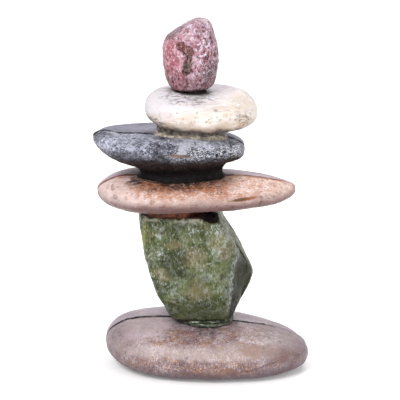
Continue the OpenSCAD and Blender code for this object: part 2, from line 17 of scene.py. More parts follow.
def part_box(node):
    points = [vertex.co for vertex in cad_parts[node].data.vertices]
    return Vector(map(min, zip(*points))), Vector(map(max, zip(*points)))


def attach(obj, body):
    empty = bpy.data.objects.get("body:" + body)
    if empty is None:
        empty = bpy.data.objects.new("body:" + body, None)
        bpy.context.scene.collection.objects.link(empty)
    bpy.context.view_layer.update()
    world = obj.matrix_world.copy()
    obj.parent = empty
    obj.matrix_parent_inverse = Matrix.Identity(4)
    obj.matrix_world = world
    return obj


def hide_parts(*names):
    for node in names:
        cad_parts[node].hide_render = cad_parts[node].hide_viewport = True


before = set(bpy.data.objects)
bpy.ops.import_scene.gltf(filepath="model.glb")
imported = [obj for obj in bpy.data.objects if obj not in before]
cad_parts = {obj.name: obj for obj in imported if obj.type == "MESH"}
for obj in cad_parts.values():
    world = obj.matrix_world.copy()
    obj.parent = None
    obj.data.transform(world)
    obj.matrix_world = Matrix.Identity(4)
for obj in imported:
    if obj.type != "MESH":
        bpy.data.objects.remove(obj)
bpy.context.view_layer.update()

MM = 0.001
SEAM_GAP = 0.08       # half the gap between a stone's two halves
GROOVE_WIDTH = 1.2    # half width of the groove along the parting line
BACKSET = 0.45        # how much lower the front rim of the parting line stands
NECK_SINK = 0.7       # how far a neck's ends reach into the stones


# ---------- the stones' shapes, as the CAD castings have them ----------

def middle(node, across, up):
    """Middle of a node's box in two directions, in millimetres."""
    low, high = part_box(node)
    return tuple((getattr(low, k) + getattr(high, k)) / 2 / MM for k in (across, up))


# mid: x and z of the middle. reach: left, right, front, back. rise: fullness below and above the middle.
# square: squareness from above and from the side. cuts: facets as (outward direction, distance).
# edge and seat_edge: how sharp the facets' and the seats' edges are. pitch: spacing of the skin's points.
# parting: how open the parting line is.
STONES = {
    "base_stone": dict(
        mid=(-8, 23), reach=(88, 118, 68, 66), rise=(36, 28), square=(2.2, 2.3), tilt=-3.5, yaw=-7,
        cuts=(), edge=12, seat_edge=9, wall=5, floor=8, pitch=1.25, parting=1.0),
    "pillar_stone": dict(
        mid=(0, 106), reach=(70, 64, 42, 44), rise=(76, 110), square=(2.1, 2.6), tilt=0, yaw=0,
        cuts=(((-0.98, 0, -0.19), 52), ((-0.91, 0, -0.42), 49), ((0.87, 0, 0.49), 42.5),
              ((0.89, 0, -0.46), 54), ((0.8, -0.6, -0.1), 42), ((-0.1, -1, 0.12), 37),
              ((0, -0.9, -0.43), 45)),
        edge=20, seat_edge=26, wall=4, floor=4, pitch=1.15, parting=0.1),
    "slab_stone": dict(
        mid=(-41, 183), reach=(61, 136, 60, 60), rise=(17.5, 17), square=(2.2, 2.1), tilt=0, yaw=0,
        cuts=(((0.05, 0, -1), 18.5),), edge=12, seat_edge=9, wall=4, floor=4, pitch=1.2, parting=0.9),
    "wedge_stone": dict(
        mid=(-31, 233), reach=(74, 75, 50, 60), rise=(30, 11), square=(2.2, 1.85), tilt=-3, yaw=0,
        cuts=(), edge=12, seat_edge=9, wall=4, floor=4, pitch=1.15, parting=1.0),
    "cushion_stone": dict(
        mid=(1, 266), reach=(56, 56, 42, 44), rise=(22.5, 20.5), square=(2.2, 2.4), tilt=-1.5, yaw=0,
        cuts=(), edge=12, seat_edge=9, wall=4, floor=4, pitch=1.15, parting=0.05),
    "crown_stone": dict(
        mid=(-9, 322), reach=(27.5, 28, 24, 24), rise=(50, 37), square=(2.1, 2.2), tilt=0, yaw=0,
        cuts=(((-0.7, 0, 0.72), 29.5), ((0.93, 0, 0.37), 29.5)), edge=14, seat_edge=12, wall=6.5, floor=4,
        pitch=0.8, parting=0.05),
}
# A stone's seats: how far its flat underside and top lie from its middle. The crown has no flat top.
for _name, _stone in STONES.items():
    _low, _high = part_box(_name + "_front")
    _stone["middle"] = np.array([_stone["mid"][0], 0.0, _stone["mid"][1]])
    _stone["below"] = _stone["mid"][1] - _low.z / MM
    _stone["above"] = _high.z / MM - _stone["mid"][1] if _name != "crown_stone" else 60.0


def gauge(s, v, wall=0.0, hard=False):
    """How far out of stone s the points v lie, from its middle: 1 on the skin, or on the inside of a wall."""
    floor_wall = s["floor"] if wall else 0.0
    c, n = math.cos(math.radians(s["tilt"])), math.sin(math.radians(s["tilt"]))
    cy, sy = math.cos(math.radians(s["yaw"])), math.sin(math.radians(s["yaw"]))
    along = v[:, 0] * cy + v[:, 1] * sy
    y = v[:, 1] * cy - v[:, 0] * sy
    x = along * c + v[:, 2] * n
    z = v[:, 2] * c - along * n
    left, right, front, back = (q - wall for q in s["reach"])
    down, up = (q - wall for q in s["rise"])
    plan = (np.abs(x) / np.where(x < 0, left, right)) ** s["square"][0]
    plan += (np.abs(y) / np.where(y < 0, front, back)) ** s["square"][0]
    side = (np.abs(z) / np.where(z < 0, down, up)) ** s["square"][1]
    egg = (plan ** (s["square"][1] / s["square"][0]) + side) ** (1 / s["square"][1])
    body = egg ** s["edge"]
    for direction, distance in s["cuts"]:
        d = np.array(direction, float)
        d /= np.linalg.norm(d)
        body += (np.maximum(0, v @ d) / (distance - wall)) ** s["edge"]
    body **= 1 / s["edge"]
    low, high = -v[:, 2] / (s["below"] - floor_wall), v[:, 2] / (s["above"] - wall)
    if hard:
        return np.maximum(body, np.maximum(low, high))
    p = s["seat_edge"]
    return (body ** p + np.maximum(0, low) ** p + np.maximum(0, high) ** p) ** (1 / p)


def strip(a, b, around):
    """Quads between two rings of points that start at a and b."""
    return [(a + k, a + (k + 1) % around, b + (k + 1) % around, b + k) for k in range(around)]


def egg_points(s, across, around, wall=0.0, hard=False):
    """Points of a closed skin: two noses on the Y axis and rings between them, with their faces."""
    t = np.linspace(0, np.pi, across + 1)[1:-1]
    f = np.arange(around) * 2 * np.pi / around
    u = np.stack([np.outer(np.sin(t), np.cos(f)), np.outer(-np.cos(t), np.ones(around)),
                  np.outer(np.sin(t), np.sin(f))], -1).reshape(-1, 3)
    u = np.vstack([[0, -1, 0], u, [0, 1, 0]])
    left, right, front, back = s["reach"]
    down, up = s["rise"]
    q = np.stack([u[:, 0] * np.where(u[:, 0] < 0, left, right), u[:, 1] * np.where(u[:, 1] < 0, front, back),
                  u[:, 2] * np.where(u[:, 2] < 0, down, up)], -1)
    points = s["middle"] + q / gauge(s, q, wall, hard)[:, None]
    last = len(points) - 1
    faces = [(0, 1 + (k + 1) % around, 1 + k) for k in range(around)]
    faces += [(last, last - around + k, last - around + (k + 1) % around) for k in range(around)]
    for j in range(across - 2):
        faces += strip(1 + j * around, 1 + (j + 1) * around, around)
    return points, faces


# ---------- numbers that look random and never change ----------

def lattice(i, seed):
    """A value from 0 to 1 for each whole-number point of i."""
    h = (i[..., 0] * 73856093) ^ (i[..., 1] * 19349663) ^ (i[..., 2] * 83492791) ^ (seed * 2654435)
    h = (h ^ (h >> 13)) * 1274126177 & 0x7FFFFFFF
    h = (h ^ (h >> 11)) * 461845907 & 0x7FFFFFFF
    return ((h ^ (h >> 15)) & 0xFFFFFF) / 0xFFFFFF


def noise(p, size, seed):
    """Smooth noise from -1 to 1 whose lumps are about size across."""
    q = p / size + 100.0
    i = np.floor(q).astype(np.int64)
    f = q - i
    f = f * f * f * (f * (f * 6 - 15) + 10)
    total = np.zeros(len(p))
    for dx, dy, dz in product((0, 1), repeat=3):
        w = np.abs(1 - dx - f[:, 0]) * np.abs(1 - dy - f[:, 1]) * np.abs(1 - dz - f[:, 2])
        total += w * lattice(i + np.array([dx, dy, dz]), seed)
    return total * 2 - 1


TURN = np.array([[0.36, 0.48, -0.8], [-0.8, 0.6, 0.0], [0.48, 0.64, 0.6]])


def fbm(p, size, octaves, seed, fade=0.5):
    """Noise over several sizes, each half the one before and turned against it."""
    total, strength, norm = np.zeros(len(p)), 1.0, 0.0
    for k in range(octaves):
        total += strength * noise(p, size, seed + 17 * k)
        norm += strength
        p = p @ TURN.T
        size *= 0.5
        strength *= fade
    return total / norm * 1.6


def step(low, high, x):
    """Smooth rise from 0 at low to 1 at high."""
    t = np.clip((x - low) / (high - low), 0, 1)
    return t * t * (3 - 2 * t)


def spot(p, x, z, rx, rz, turn=0.0, ragged=0.0, seed=0, soft=0.5):
    """1 inside an ellipse of the front view, fading to 0 round it, on the front half only."""
    c, n = math.cos(math.radians(turn)), math.sin(math.radians(turn))
    dx, dz = p[:, 0] - x, p[:, 2] - z
    r = np.hypot((dx * c + dz * n) / rx, (dz * c - dx * n) / rz)
    if ragged:
        r = r + ragged * fbm(p, (rx + rz) / 2, 3, seed)
    return (1 - step(1 - soft, 1 + soft, r)) * (p[:, 1] < 0)


# ---------- carving ----------

def tree_of(points):
    """A tree that finds the nearest of the points."""
    tree = KDTree(len(points))
    for k, point in enumerate(points):
        tree.insert(point, k)
    tree.balance()
    return tree


def pits(p, where, count, radius, depth, seed):
    """Little round pits at random points of the skin; where says how likely each point is. Depth in mm."""
    rng = np.random.RandomState(seed)
    chance = where / where.sum()
    centres = rng.choice(len(p), count, replace=False, p=chance)
    tree = tree_of(p)
    cut = np.zeros(len(p))
    for k in centres:
        r = radius[0] + (radius[1] - radius[0]) * rng.rand() ** 2
        d = depth * (0.5 + 0.5 * rng.rand()) * min(1.0, r)
        for _, j, distance in tree.find_range(p[k], r * 1.6):
            bowl = math.exp(-(distance / r) ** 2 * 1.6)
            cut[j] = max(cut[j], d * bowl)
    return cut


def calmer(p, least):
    """1 on the front half, falling to least over the back half, which is the plainer casting."""
    return 1 - (1 - least) * step(0, 20, p[:, 1])


def carve_base(p, n):
    grain = 0.20 * fbm(p, 2.4, 2, 11) + 0.22 * fbm(p, 7, 2, 12)
    form = 1.0 * fbm(p, 46, 2, 13) + 0.5 * fbm(p, 17, 2, 14)
    crest = np.exp(-(p[:, 1] / 15) ** 2) * step(0.3, 0.8, n[:, 2])
    form += 2.6 * crest * step(-92, -72, p[:, 0]) * step(-18, -34, p[:, 0])
    front = p[:, 1] < 0
    cut = pits(p, front * (0.2 + step(40, -10, p[:, 0])), 170, (0.8, 1.7), 0.6, 15)
    crack = line(p, [(40, 13), (52, 15), (66, 19), (78, 22)], 0.7, 16)
    return form * calmer(p, 0.55), grain * calmer(p, 0.5), cut + 0.5 * crack, 0 * cut


# The notch at the right end of the gap over the pillar, painted dark as shade: x, z, half width, half height.
NOTCH = (13.0, 164.8, 10.5, 7.4)


def carve_pillar(p, n):
    grain = 0.26 * fbm(p, 2.6, 2, 21) + 0.30 * fbm(p, 8, 2, 22)
    form = 0.9 * fbm(p, 30, 2, 23)
    form -= 2.6 * spot(p, -33, 116, 17, 8, 12, 0.25, 24, 0.4)
    form -= 2.2 * spot(p, -20, 105, 13, 6, -8, 0.3, 25, 0.35)
    form += 1.6 * spot(p, -8, 124, 22, 12, -10, 0.3, 26, 0.6)
    form += 1.2 * spot(p, 2, 84, 20, 16, 20, 0.3, 27, 0.6)
    form -= 2.6 * spot(p, 43, 94, 6, 26, 8, 0.15, 28, 0.5)
    hollow = spot(p, *NOTCH, 0, 0.12, 29, 0.25)
    form -= 2.6 * hollow
    cut = pits(p, 0.3 + (p[:, 1] < 0), 300, (0.8, 1.9), 0.7, 30)
    return form, grain, cut, hollow


# The slab's ringed pits: x, z, radius.
SLAB_PITS = ((-49, 193.5, 1.8), (19, 193, 1.9), (11.5, 192.3, 1.3), (-31, 194, 1.2), (-46.5, 186.5, 1.8),
             (-83, 187.5, 1.8), (-86, 192.5, 1.1), (60, 186, 1.3))


def swell(p, x, z, rx, rz):
    """1 round a place of the front view, fading away, on both halves."""
    return np.exp(-((p[:, 0] - x) / rx) ** 2 - ((p[:, 2] - z) / rz) ** 2)


def carve_slab(p, n):
    front = p[:, 1] < 0
    grain = 0.17 * fbm(p, 2.4, 2, 31) + 0.22 * fbm(p, 6, 2, 32)
    form = 0.8 * fbm(p * [0.6, 1, 1], 26, 2, 33)
    form += 2.4 * swell(p, -78, 199, 15, 8) * step(-30, 10, p[:, 1]) + 1.4 * swell(p, 74, 178, 18, 5)
    form += 1.6 * np.exp(-(p[:, 1] / 9) ** 2) * step(0.3, 0.8, n[:, 2]) * step(0, 40, p[:, 0])
    where = front * (0.1 + np.exp(-((p[:, 2] - 188) / 7) ** 2))
    cut = pits(p, where, 90, (0.8, 1.6), 0.8, 34)
    hollow = np.zeros(len(p))
    for x, z, r in SLAB_PITS:
        hollow = np.maximum(hollow, spot(p, x, z, r, r * 0.85, 0, 0.15, 35, 0.5))
        form = form + 0.5 * spot(p, x, z, r * 1.7, r * 1.4, 0, 0.15, 35, 0.3)
    form -= 1.3 * hollow
    cut += 0.6 * spot(p, 43, 186.5, 12, 1.4, 3, 0.35, 36, 0.4)
    cut += 0.8 * line(p, [(-36, 197), (-28, 198), (-22, 198.6)], 0.9, 37)
    return form * calmer(p, 0.5), grain * calmer(p, 0.4), cut, hollow


def carve_wedge(p, n):
    front = p[:, 1] < 0
    grain = 0.30 * fbm(p, 2.4, 2, 41) + 0.30 * fbm(p, 6, 2, 42)
    form = 0.9 * fbm(p, 24, 2, 43)
    form += 2.4 * swell(p, -96, 242, 12, 6) + 3.6 * swell(p, 39, 242, 8, 7) + 3.2 * swell(p, 39, 222, 8, 7)
    form += 1.2 * np.exp(-(p[:, 1] / 10) ** 2) * step(0.3, 0.8, n[:, 2]) * step(-45, -60, p[:, 0])
    form += 1.0 * spot(p, -32, 226, 26, 4, -4, 0.2, 44, 0.5)
    form -= 1.6 * spot(p, -20, 230, 13, 2.0, -3, 0.2, 45, 0.5)
    cut = pits(p, front * 1.0 + 0.02, 200, (0.8, 1.6), 0.7, 46)
    return form * calmer(p, 0.5), grain * calmer(p, 0.35), cut, 0 * cut


def carve_cushion(p, n):
    grain = 0.12 * fbm(p, 2.6, 2, 51) + 0.12 * fbm(p * [0.4, 1, 1], 3, 2, 56) + 0.14 * fbm(p, 8, 2, 52)
    form = 0.8 * fbm(p, 28, 2, 53)
    plan = np.hypot((p[:, 0] - 1) / 56, p[:, 1] / 43)
    form += 4.0 * np.exp(-((plan - 0.7) / 0.2) ** 2) * step(0.3, 0.8, n[:, 2]) * step(-30, -4, p[:, 1])
    where = spot(p, 42, 263, 8, 5, -20, 0.2, 54, 0.6) + 0.3 * spot(p, 8, 268, 26, 6, 0, 0.2, 55, 0.6) + 0.002
    cut = pits(p, where, 60, (0.8, 1.5), 0.8, 56)
    return form * calmer(p, 0.7), grain * calmer(p, 0.5), cut, 0 * cut


# The crown's hollow, as ellipses of the front view: x, z, half width, half height, turn.
VUG = ((-17.5, 332.5, 7.0, 4.8, -28), (-11.0, 325, 3.8, 7.5, 0), (-12.5, 313.5, 4.4, 6.6, -22))


def carve_crown(p, n):
    front = p[:, 1] < 0
    grain = 0.22 * fbm(p, 2.0, 2, 61) + 0.22 * fbm(p, 5, 2, 62)
    form = 0.7 * fbm(p, 16, 2, 63)
    over = (p - STONES["crown_stone"]["middle"]) @ np.array([-0.5, 0, 0.866]) - 27.5
    form += 2.4 * swell(p, 8, 352, 8, 9) - 0.5 * (over + np.sqrt(over ** 2 + 4))
    ragged = p + 1.7 * np.stack([fbm(p, 3.5, 2, 68), 0 * over, fbm(p, 3.5, 2, 69)], -1)
    hollow = np.zeros(len(p))
    for k, (x, z, rx, rz, turn) in enumerate(VUG):
        hollow = np.maximum(hollow, spot(ragged, x, z, rx, rz, turn, 0.3, 64 + k, 0.22))
    form -= 3.6 * hollow
    where = front * (0.15 + np.exp(-((p[:, 2] - 302) / 13) ** 2) + 0.7 * step(-4, 12, p[:, 0]))
    cut = pits(p * [1, 1, 0.6], where, 130, (0.7, 1.3), 1.1, 67)
    return form, grain * calmer(p, 0.6), cut, hollow


def line(p, route, width, seed):
    """1 along a polyline of the front view, fading over width."""
    best = np.full(len(p), 1e9)
    warp = 0.8 * fbm(p, 6, 2, seed)
    q = np.stack([p[:, 0] + warp, p[:, 2] + warp], -1)
    for a, b in zip(route, route[1:]):
        a, b = np.array(a, float), np.array(b, float)
        t = np.clip((q - a) @ (b - a) / ((b - a) @ (b - a)), 0, 1)
        best = np.minimum(best, np.linalg.norm(q - (a + t[:, None] * (b - a)), axis=1))
    return np.exp(-(best / width) ** 2) * (p[:, 1] < 0)


CARVERS = {
    "base_stone": carve_base, "pillar_stone": carve_pillar, "slab_stone": carve_slab,
    "wedge_stone": carve_wedge, "cushion_stone": carve_cushion, "crown_stone": carve_crown,
}


# ---------- meshes ----------

def add_object(name, points_mm, faces):
    mesh = bpy.data.meshes.new(name)
    mesh.from_pydata([tuple(q) for q in np.asarray(points_mm) * MM], [], faces)
    mesh.update()
    obj = bpy.data.objects.new(name, mesh)
    bpy.context.scene.collection.objects.link(obj)
    return obj


def settle(obj):
    """Applies obj's modifiers to its mesh."""
    bpy.context.view_layer.update()
    graph = bpy.context.evaluated_depsgraph_get()
    mesh = bpy.data.meshes.new_from_object(obj.evaluated_get(graph))
    obj.modifiers.clear()
    old = obj.data
    obj.data = mesh
    bpy.data.meshes.remove(old)


def column(obj, what):
    """The co or normal of every vertex."""
    values = np.zeros(len(obj.data.vertices) * 3, np.float32)
    obj.data.vertices.foreach_get(what, values)
    return values.reshape(-1, 3).astype(float)


def corners(obj):
    return column(obj, "co") / MM


def set_corners(obj, points_mm):
    obj.data.vertices.foreach_set("co", (points_mm * MM).astype(np.float32).ravel())
    obj.data.update()


def boolean(obj, other, operation):
    mod = obj.modifiers.new(operation, "BOOLEAN")
    mod.object = other
    mod.operation = operation
    mod.solver = "MANIFOLD"


def smooth(obj, angle=42):
    obj.data.shade_smooth()
    obj.data.set_sharp_from_angle(angle=math.radians(angle))


def block(name, low, high):
    """A plain box used only as a cutter."""
    x, y, z = zip(low, high)
    points = [(x[i], y[j], z[k]) for i in (0, 1) for j in (0, 1) for k in (0, 1)]
    faces = [(0, 1, 3, 2), (4, 6, 7, 5), (0, 4, 5, 1), (2, 3, 7, 6), (0, 2, 6, 4), (1, 5, 7, 3)]
    return add_object(name, points, faces)


def prism(name, outline, z0, z1):
    """An upright cutter with the outline's points."""
    count = len(outline)
    points = [(x, y, z0) for x, y in outline] + [(x, y, z1) for x, y in outline]
    faces = [tuple(range(count))[::-1], tuple(range(count, 2 * count))]
    faces += strip(0, count, count)
    return add_object(name, points, faces)


def round_outline(at, r, count=72):
    return [(at[0] + r * math.cos(2 * math.pi * k / count), at[1] + r * math.sin(2 * math.pi * k / count))
            for k in range(count)]


def lying(name, at, r, y0, y1, count=48):
    """A cutter along Y at (x, z)."""
    obj = prism(name, round_outline((0, 0), r, count), y0, y1)
    p = corners(obj)
    set_corners(obj, np.stack([at[0] + p[:, 0], p[:, 2], at[1] - p[:, 1]], -1))
    return obj


def rough_skin(name, s):
    """The whole stone at its pitch, before it is split, with its marks for the materials."""
    points, faces = egg_points(s, 64, 128)
    obj = add_object(name, points, faces)
    remesh = obj.modifiers.new("even", "REMESH")
    remesh.mode = "VOXEL"
    remesh.voxel_size = s["pitch"] * MM
    settle(obj)
    v = corners(obj) - s["middle"]
    p = s["middle"] + v / gauge(s, v)[:, None]
    set_corners(obj, p)
    n = column(obj, "normal")
    form, grain, cut, hollow = CARVERS[name](p, n)
    seam_y = p[:, 1]
    upper = step(-0.1, 0.4, n[:, 2])
    groove = np.exp(-((seam_y + 0.4) / GROOVE_WIDTH) ** 2)
    groove = (0.15 + 0.6 * upper) * groove * (0.75 + 0.35 * noise(p, 9, 5))
    backset = BACKSET * upper * (step(0.3, -0.9, seam_y) - step(-6, -20, seam_y))
    p = p + n * (form + grain - cut - (groove + backset) * s["parting"])[:, None]
    set_corners(obj, p)
    marks = {
        "raised": np.clip(0.5 + grain * 1.4 - cut * 0.8, 0, 1),
        "pit": np.clip(cut / 0.8, 0, 1),
        "hollow": hollow,
        "seam": np.exp(-(seam_y / np.where(seam_y < 0, 1.3 + 2.6 * upper, GROOVE_WIDTH)) ** 2),
    }
    return obj, p, marks


def base_cutters():
    """What the base casting leaves open: the tub's way in, the collar's bore, the inlet and the drain."""
    low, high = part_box("sump_tub")
    half = ((high.x - low.x) / 2 / MM, (high.y - low.y) / 2 / MM)
    mid = (high.x + low.x) / 2 / MM

    def oblong(wider):
        part = lambda v: math.copysign(abs(v) ** (2 / 3), v)
        return [(mid + (half[0] + wider) * part(x), (half[1] + wider) * part(y))
                for x, y in round_outline((0, 0), 1, 96)]

    # The recess that the tub's flange fills, the way in for the tub's body, and the collar's bore.
    made = [
        prism("cut_recess", oblong(0.4), -5, 4.2),
        prism("cut_tub", oblong(-7), -6, 12),
        prism("cut_collar", round_outline(middle("drain_collar", "x", "y"), 24.1), 30, 60),
    ]
    # The bore of each fitting, and round it the flat face that its flange lies on.
    for node, bore, flange, thick in (("dc_inlet", 5.6, 8.5, 1.7), ("drain_bush", 7.1, 9.0, 2.1)):
        at = middle(node, "x", "z")
        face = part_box(node)[1].y / MM - thick
        made.append(lying("cut_" + node, at, bore, 30, 90))
        made.append(lying("cut_face_" + node, at, flange, face, 95))
    return made


def halves(name, s):
    """Splits the carved stone into its front and back shell, and passes its marks on."""
    whole, p, marks = rough_skin(name, s)
    tree = tree_of(p)
    hollow_points, hollow_faces = egg_points(s, 32, 56, s["wall"], True)
    hollow = add_object("hollow", hollow_points, [face[::-1] for face in hollow_faces])
    cutters = base_cutters() if name == "base_stone" else []
    made = {}
    for side, y0, y1 in (("front", -300, -SEAM_GAP), ("back", SEAM_GAP, 300)):
        half = whole.copy()
        half.data = whole.data.copy()
        half.name = name + "_" + side + "_skin"
        bpy.context.scene.collection.objects.link(half)
        keep = block("keep", (-400, y0, -50), (400, y1, 500))
        boolean(half, keep, "INTERSECT")
        for cutter in [hollow] + cutters:
            boolean(half, cutter, "DIFFERENCE")
        settle(half)
        bpy.data.objects.remove(keep)
        q = corners(half)
        nearest = np.array([tree.find(point)[1] for point in q])
        for mark, values in marks.items():
            half.data.attributes.new(mark, "FLOAT", "POINT").data.foreach_set(
                "value", values[nearest].astype(np.float32))
        smooth(half)
        made[side] = half
    ray_tree = BVHTree.FromPolygons([tuple(q) for q in p], [tuple(f.vertices) for f in whole.data.polygons])
    for used in cutters + [hollow, whole]:
        bpy.data.objects.remove(used)
    return made, ray_tree


# ---------- necks, collar and ring ----------

def neck(name, lower, upper, at, half, between, flare, drop, seed, rows=12, around=144):
    """A cast neck between two stones: it flares onto the skin below and above, at height between."""
    points = []
    for j in range(rows + 1):
        t = j / rows
        spread = flare[0] * (1 - t) ** 3 + flare[1] * t ** 2
        for k in range(around):
            a = 2 * math.pi * k / around
            c, n = math.cos(a), math.sin(a)
            wave = np.array([[c * 9, n * 9, seed]])
            wobble = 1 + 0.035 * fbm(wave, 6, 2, seed)[0]

            def place(wider, z):
                """The point of this column at height z, wider than the waist by so much."""
                return (half[0] + wider) * wobble * c + at[0], (half[1] + wider) * wobble * n + at[1], z

            down = lower.ray_cast(Vector(place(flare[0], between)), Vector((0, 0, -1)), drop)[0]
            up = upper.ray_cast(Vector(place(flare[1], between)), Vector((0, 0, 1)), drop)[0]
            z0 = (down.z if down else between - 3) - NECK_SINK
            z1 = (up.z if up else between + 3) + NECK_SINK
            points.append(place(spread, z0 + (z1 - z0) * t))
    points = np.array(points, float)
    out = points - np.array([at[0], at[1], 0.0])
    out[:, 2] = 0
    out /= np.linalg.norm(out, axis=1)[:, None]
    points += out * (0.35 * fbm(points, 5, 3, seed + 1))[:, None]
    count = len(points)
    low_mid = (at[0], at[1], points[:around, 2].mean())
    high_mid = (at[0], at[1], points[-around:, 2].mean())
    points = np.vstack([points, [low_mid, high_mid]])
    faces = []
    for j in range(rows):
        faces += strip(j * around, (j + 1) * around, around)
    top = rows * around
    faces += [(count, (k + 1) % around, k) for k in range(around)]
    faces += [(count + 1, top + k, top + (k + 1) % around) for k in range(around)]
    obj = add_object(name, points, faces)
    smooth(obj, 60)
    return obj


def lathe(name, at, profile, around=160, lumps=0.0, seed=0, lumpy=lambda r, z: 1.0):
    """A turned ring from (radius, height) points, uneven where lumpy says so."""
    points = []
    for r, z in profile:
        ring = np.array([(x, y, 0) for x, y in round_outline((0, 0), 1, around)])
        base = ring * r + [0, 0, z]
        push = lumps * lumpy(r, z) * fbm(base, 7, 3, seed)
        lift = lumps * lumpy(r, z) * fbm(base + 50, 12, 2, seed + 3)
        moved = base + ring * push[:, None] + np.stack([0 * lift, 0 * lift, lift], -1)
        points.append(moved + [at[0], at[1], 0])
    count = len(profile)
    faces = []
    for j in range(count):
        faces += strip(j * around, (j + 1) % count * around, around)
    obj = add_object(name, np.vstack(points), faces)
    smooth(obj, 50)
    return obj


# ---------- materials ----------

def rgba(hex_colour):
    """Linear colour from a #rrggbb display colour."""
    values = [int(hex_colour[k:k + 2], 16) / 255 for k in (1, 3, 5)]
    return tuple(v / 12.92 if v <= 0.04045 else ((v + 0.055) / 1.055) ** 2.4 for v in values) + (1.0,)


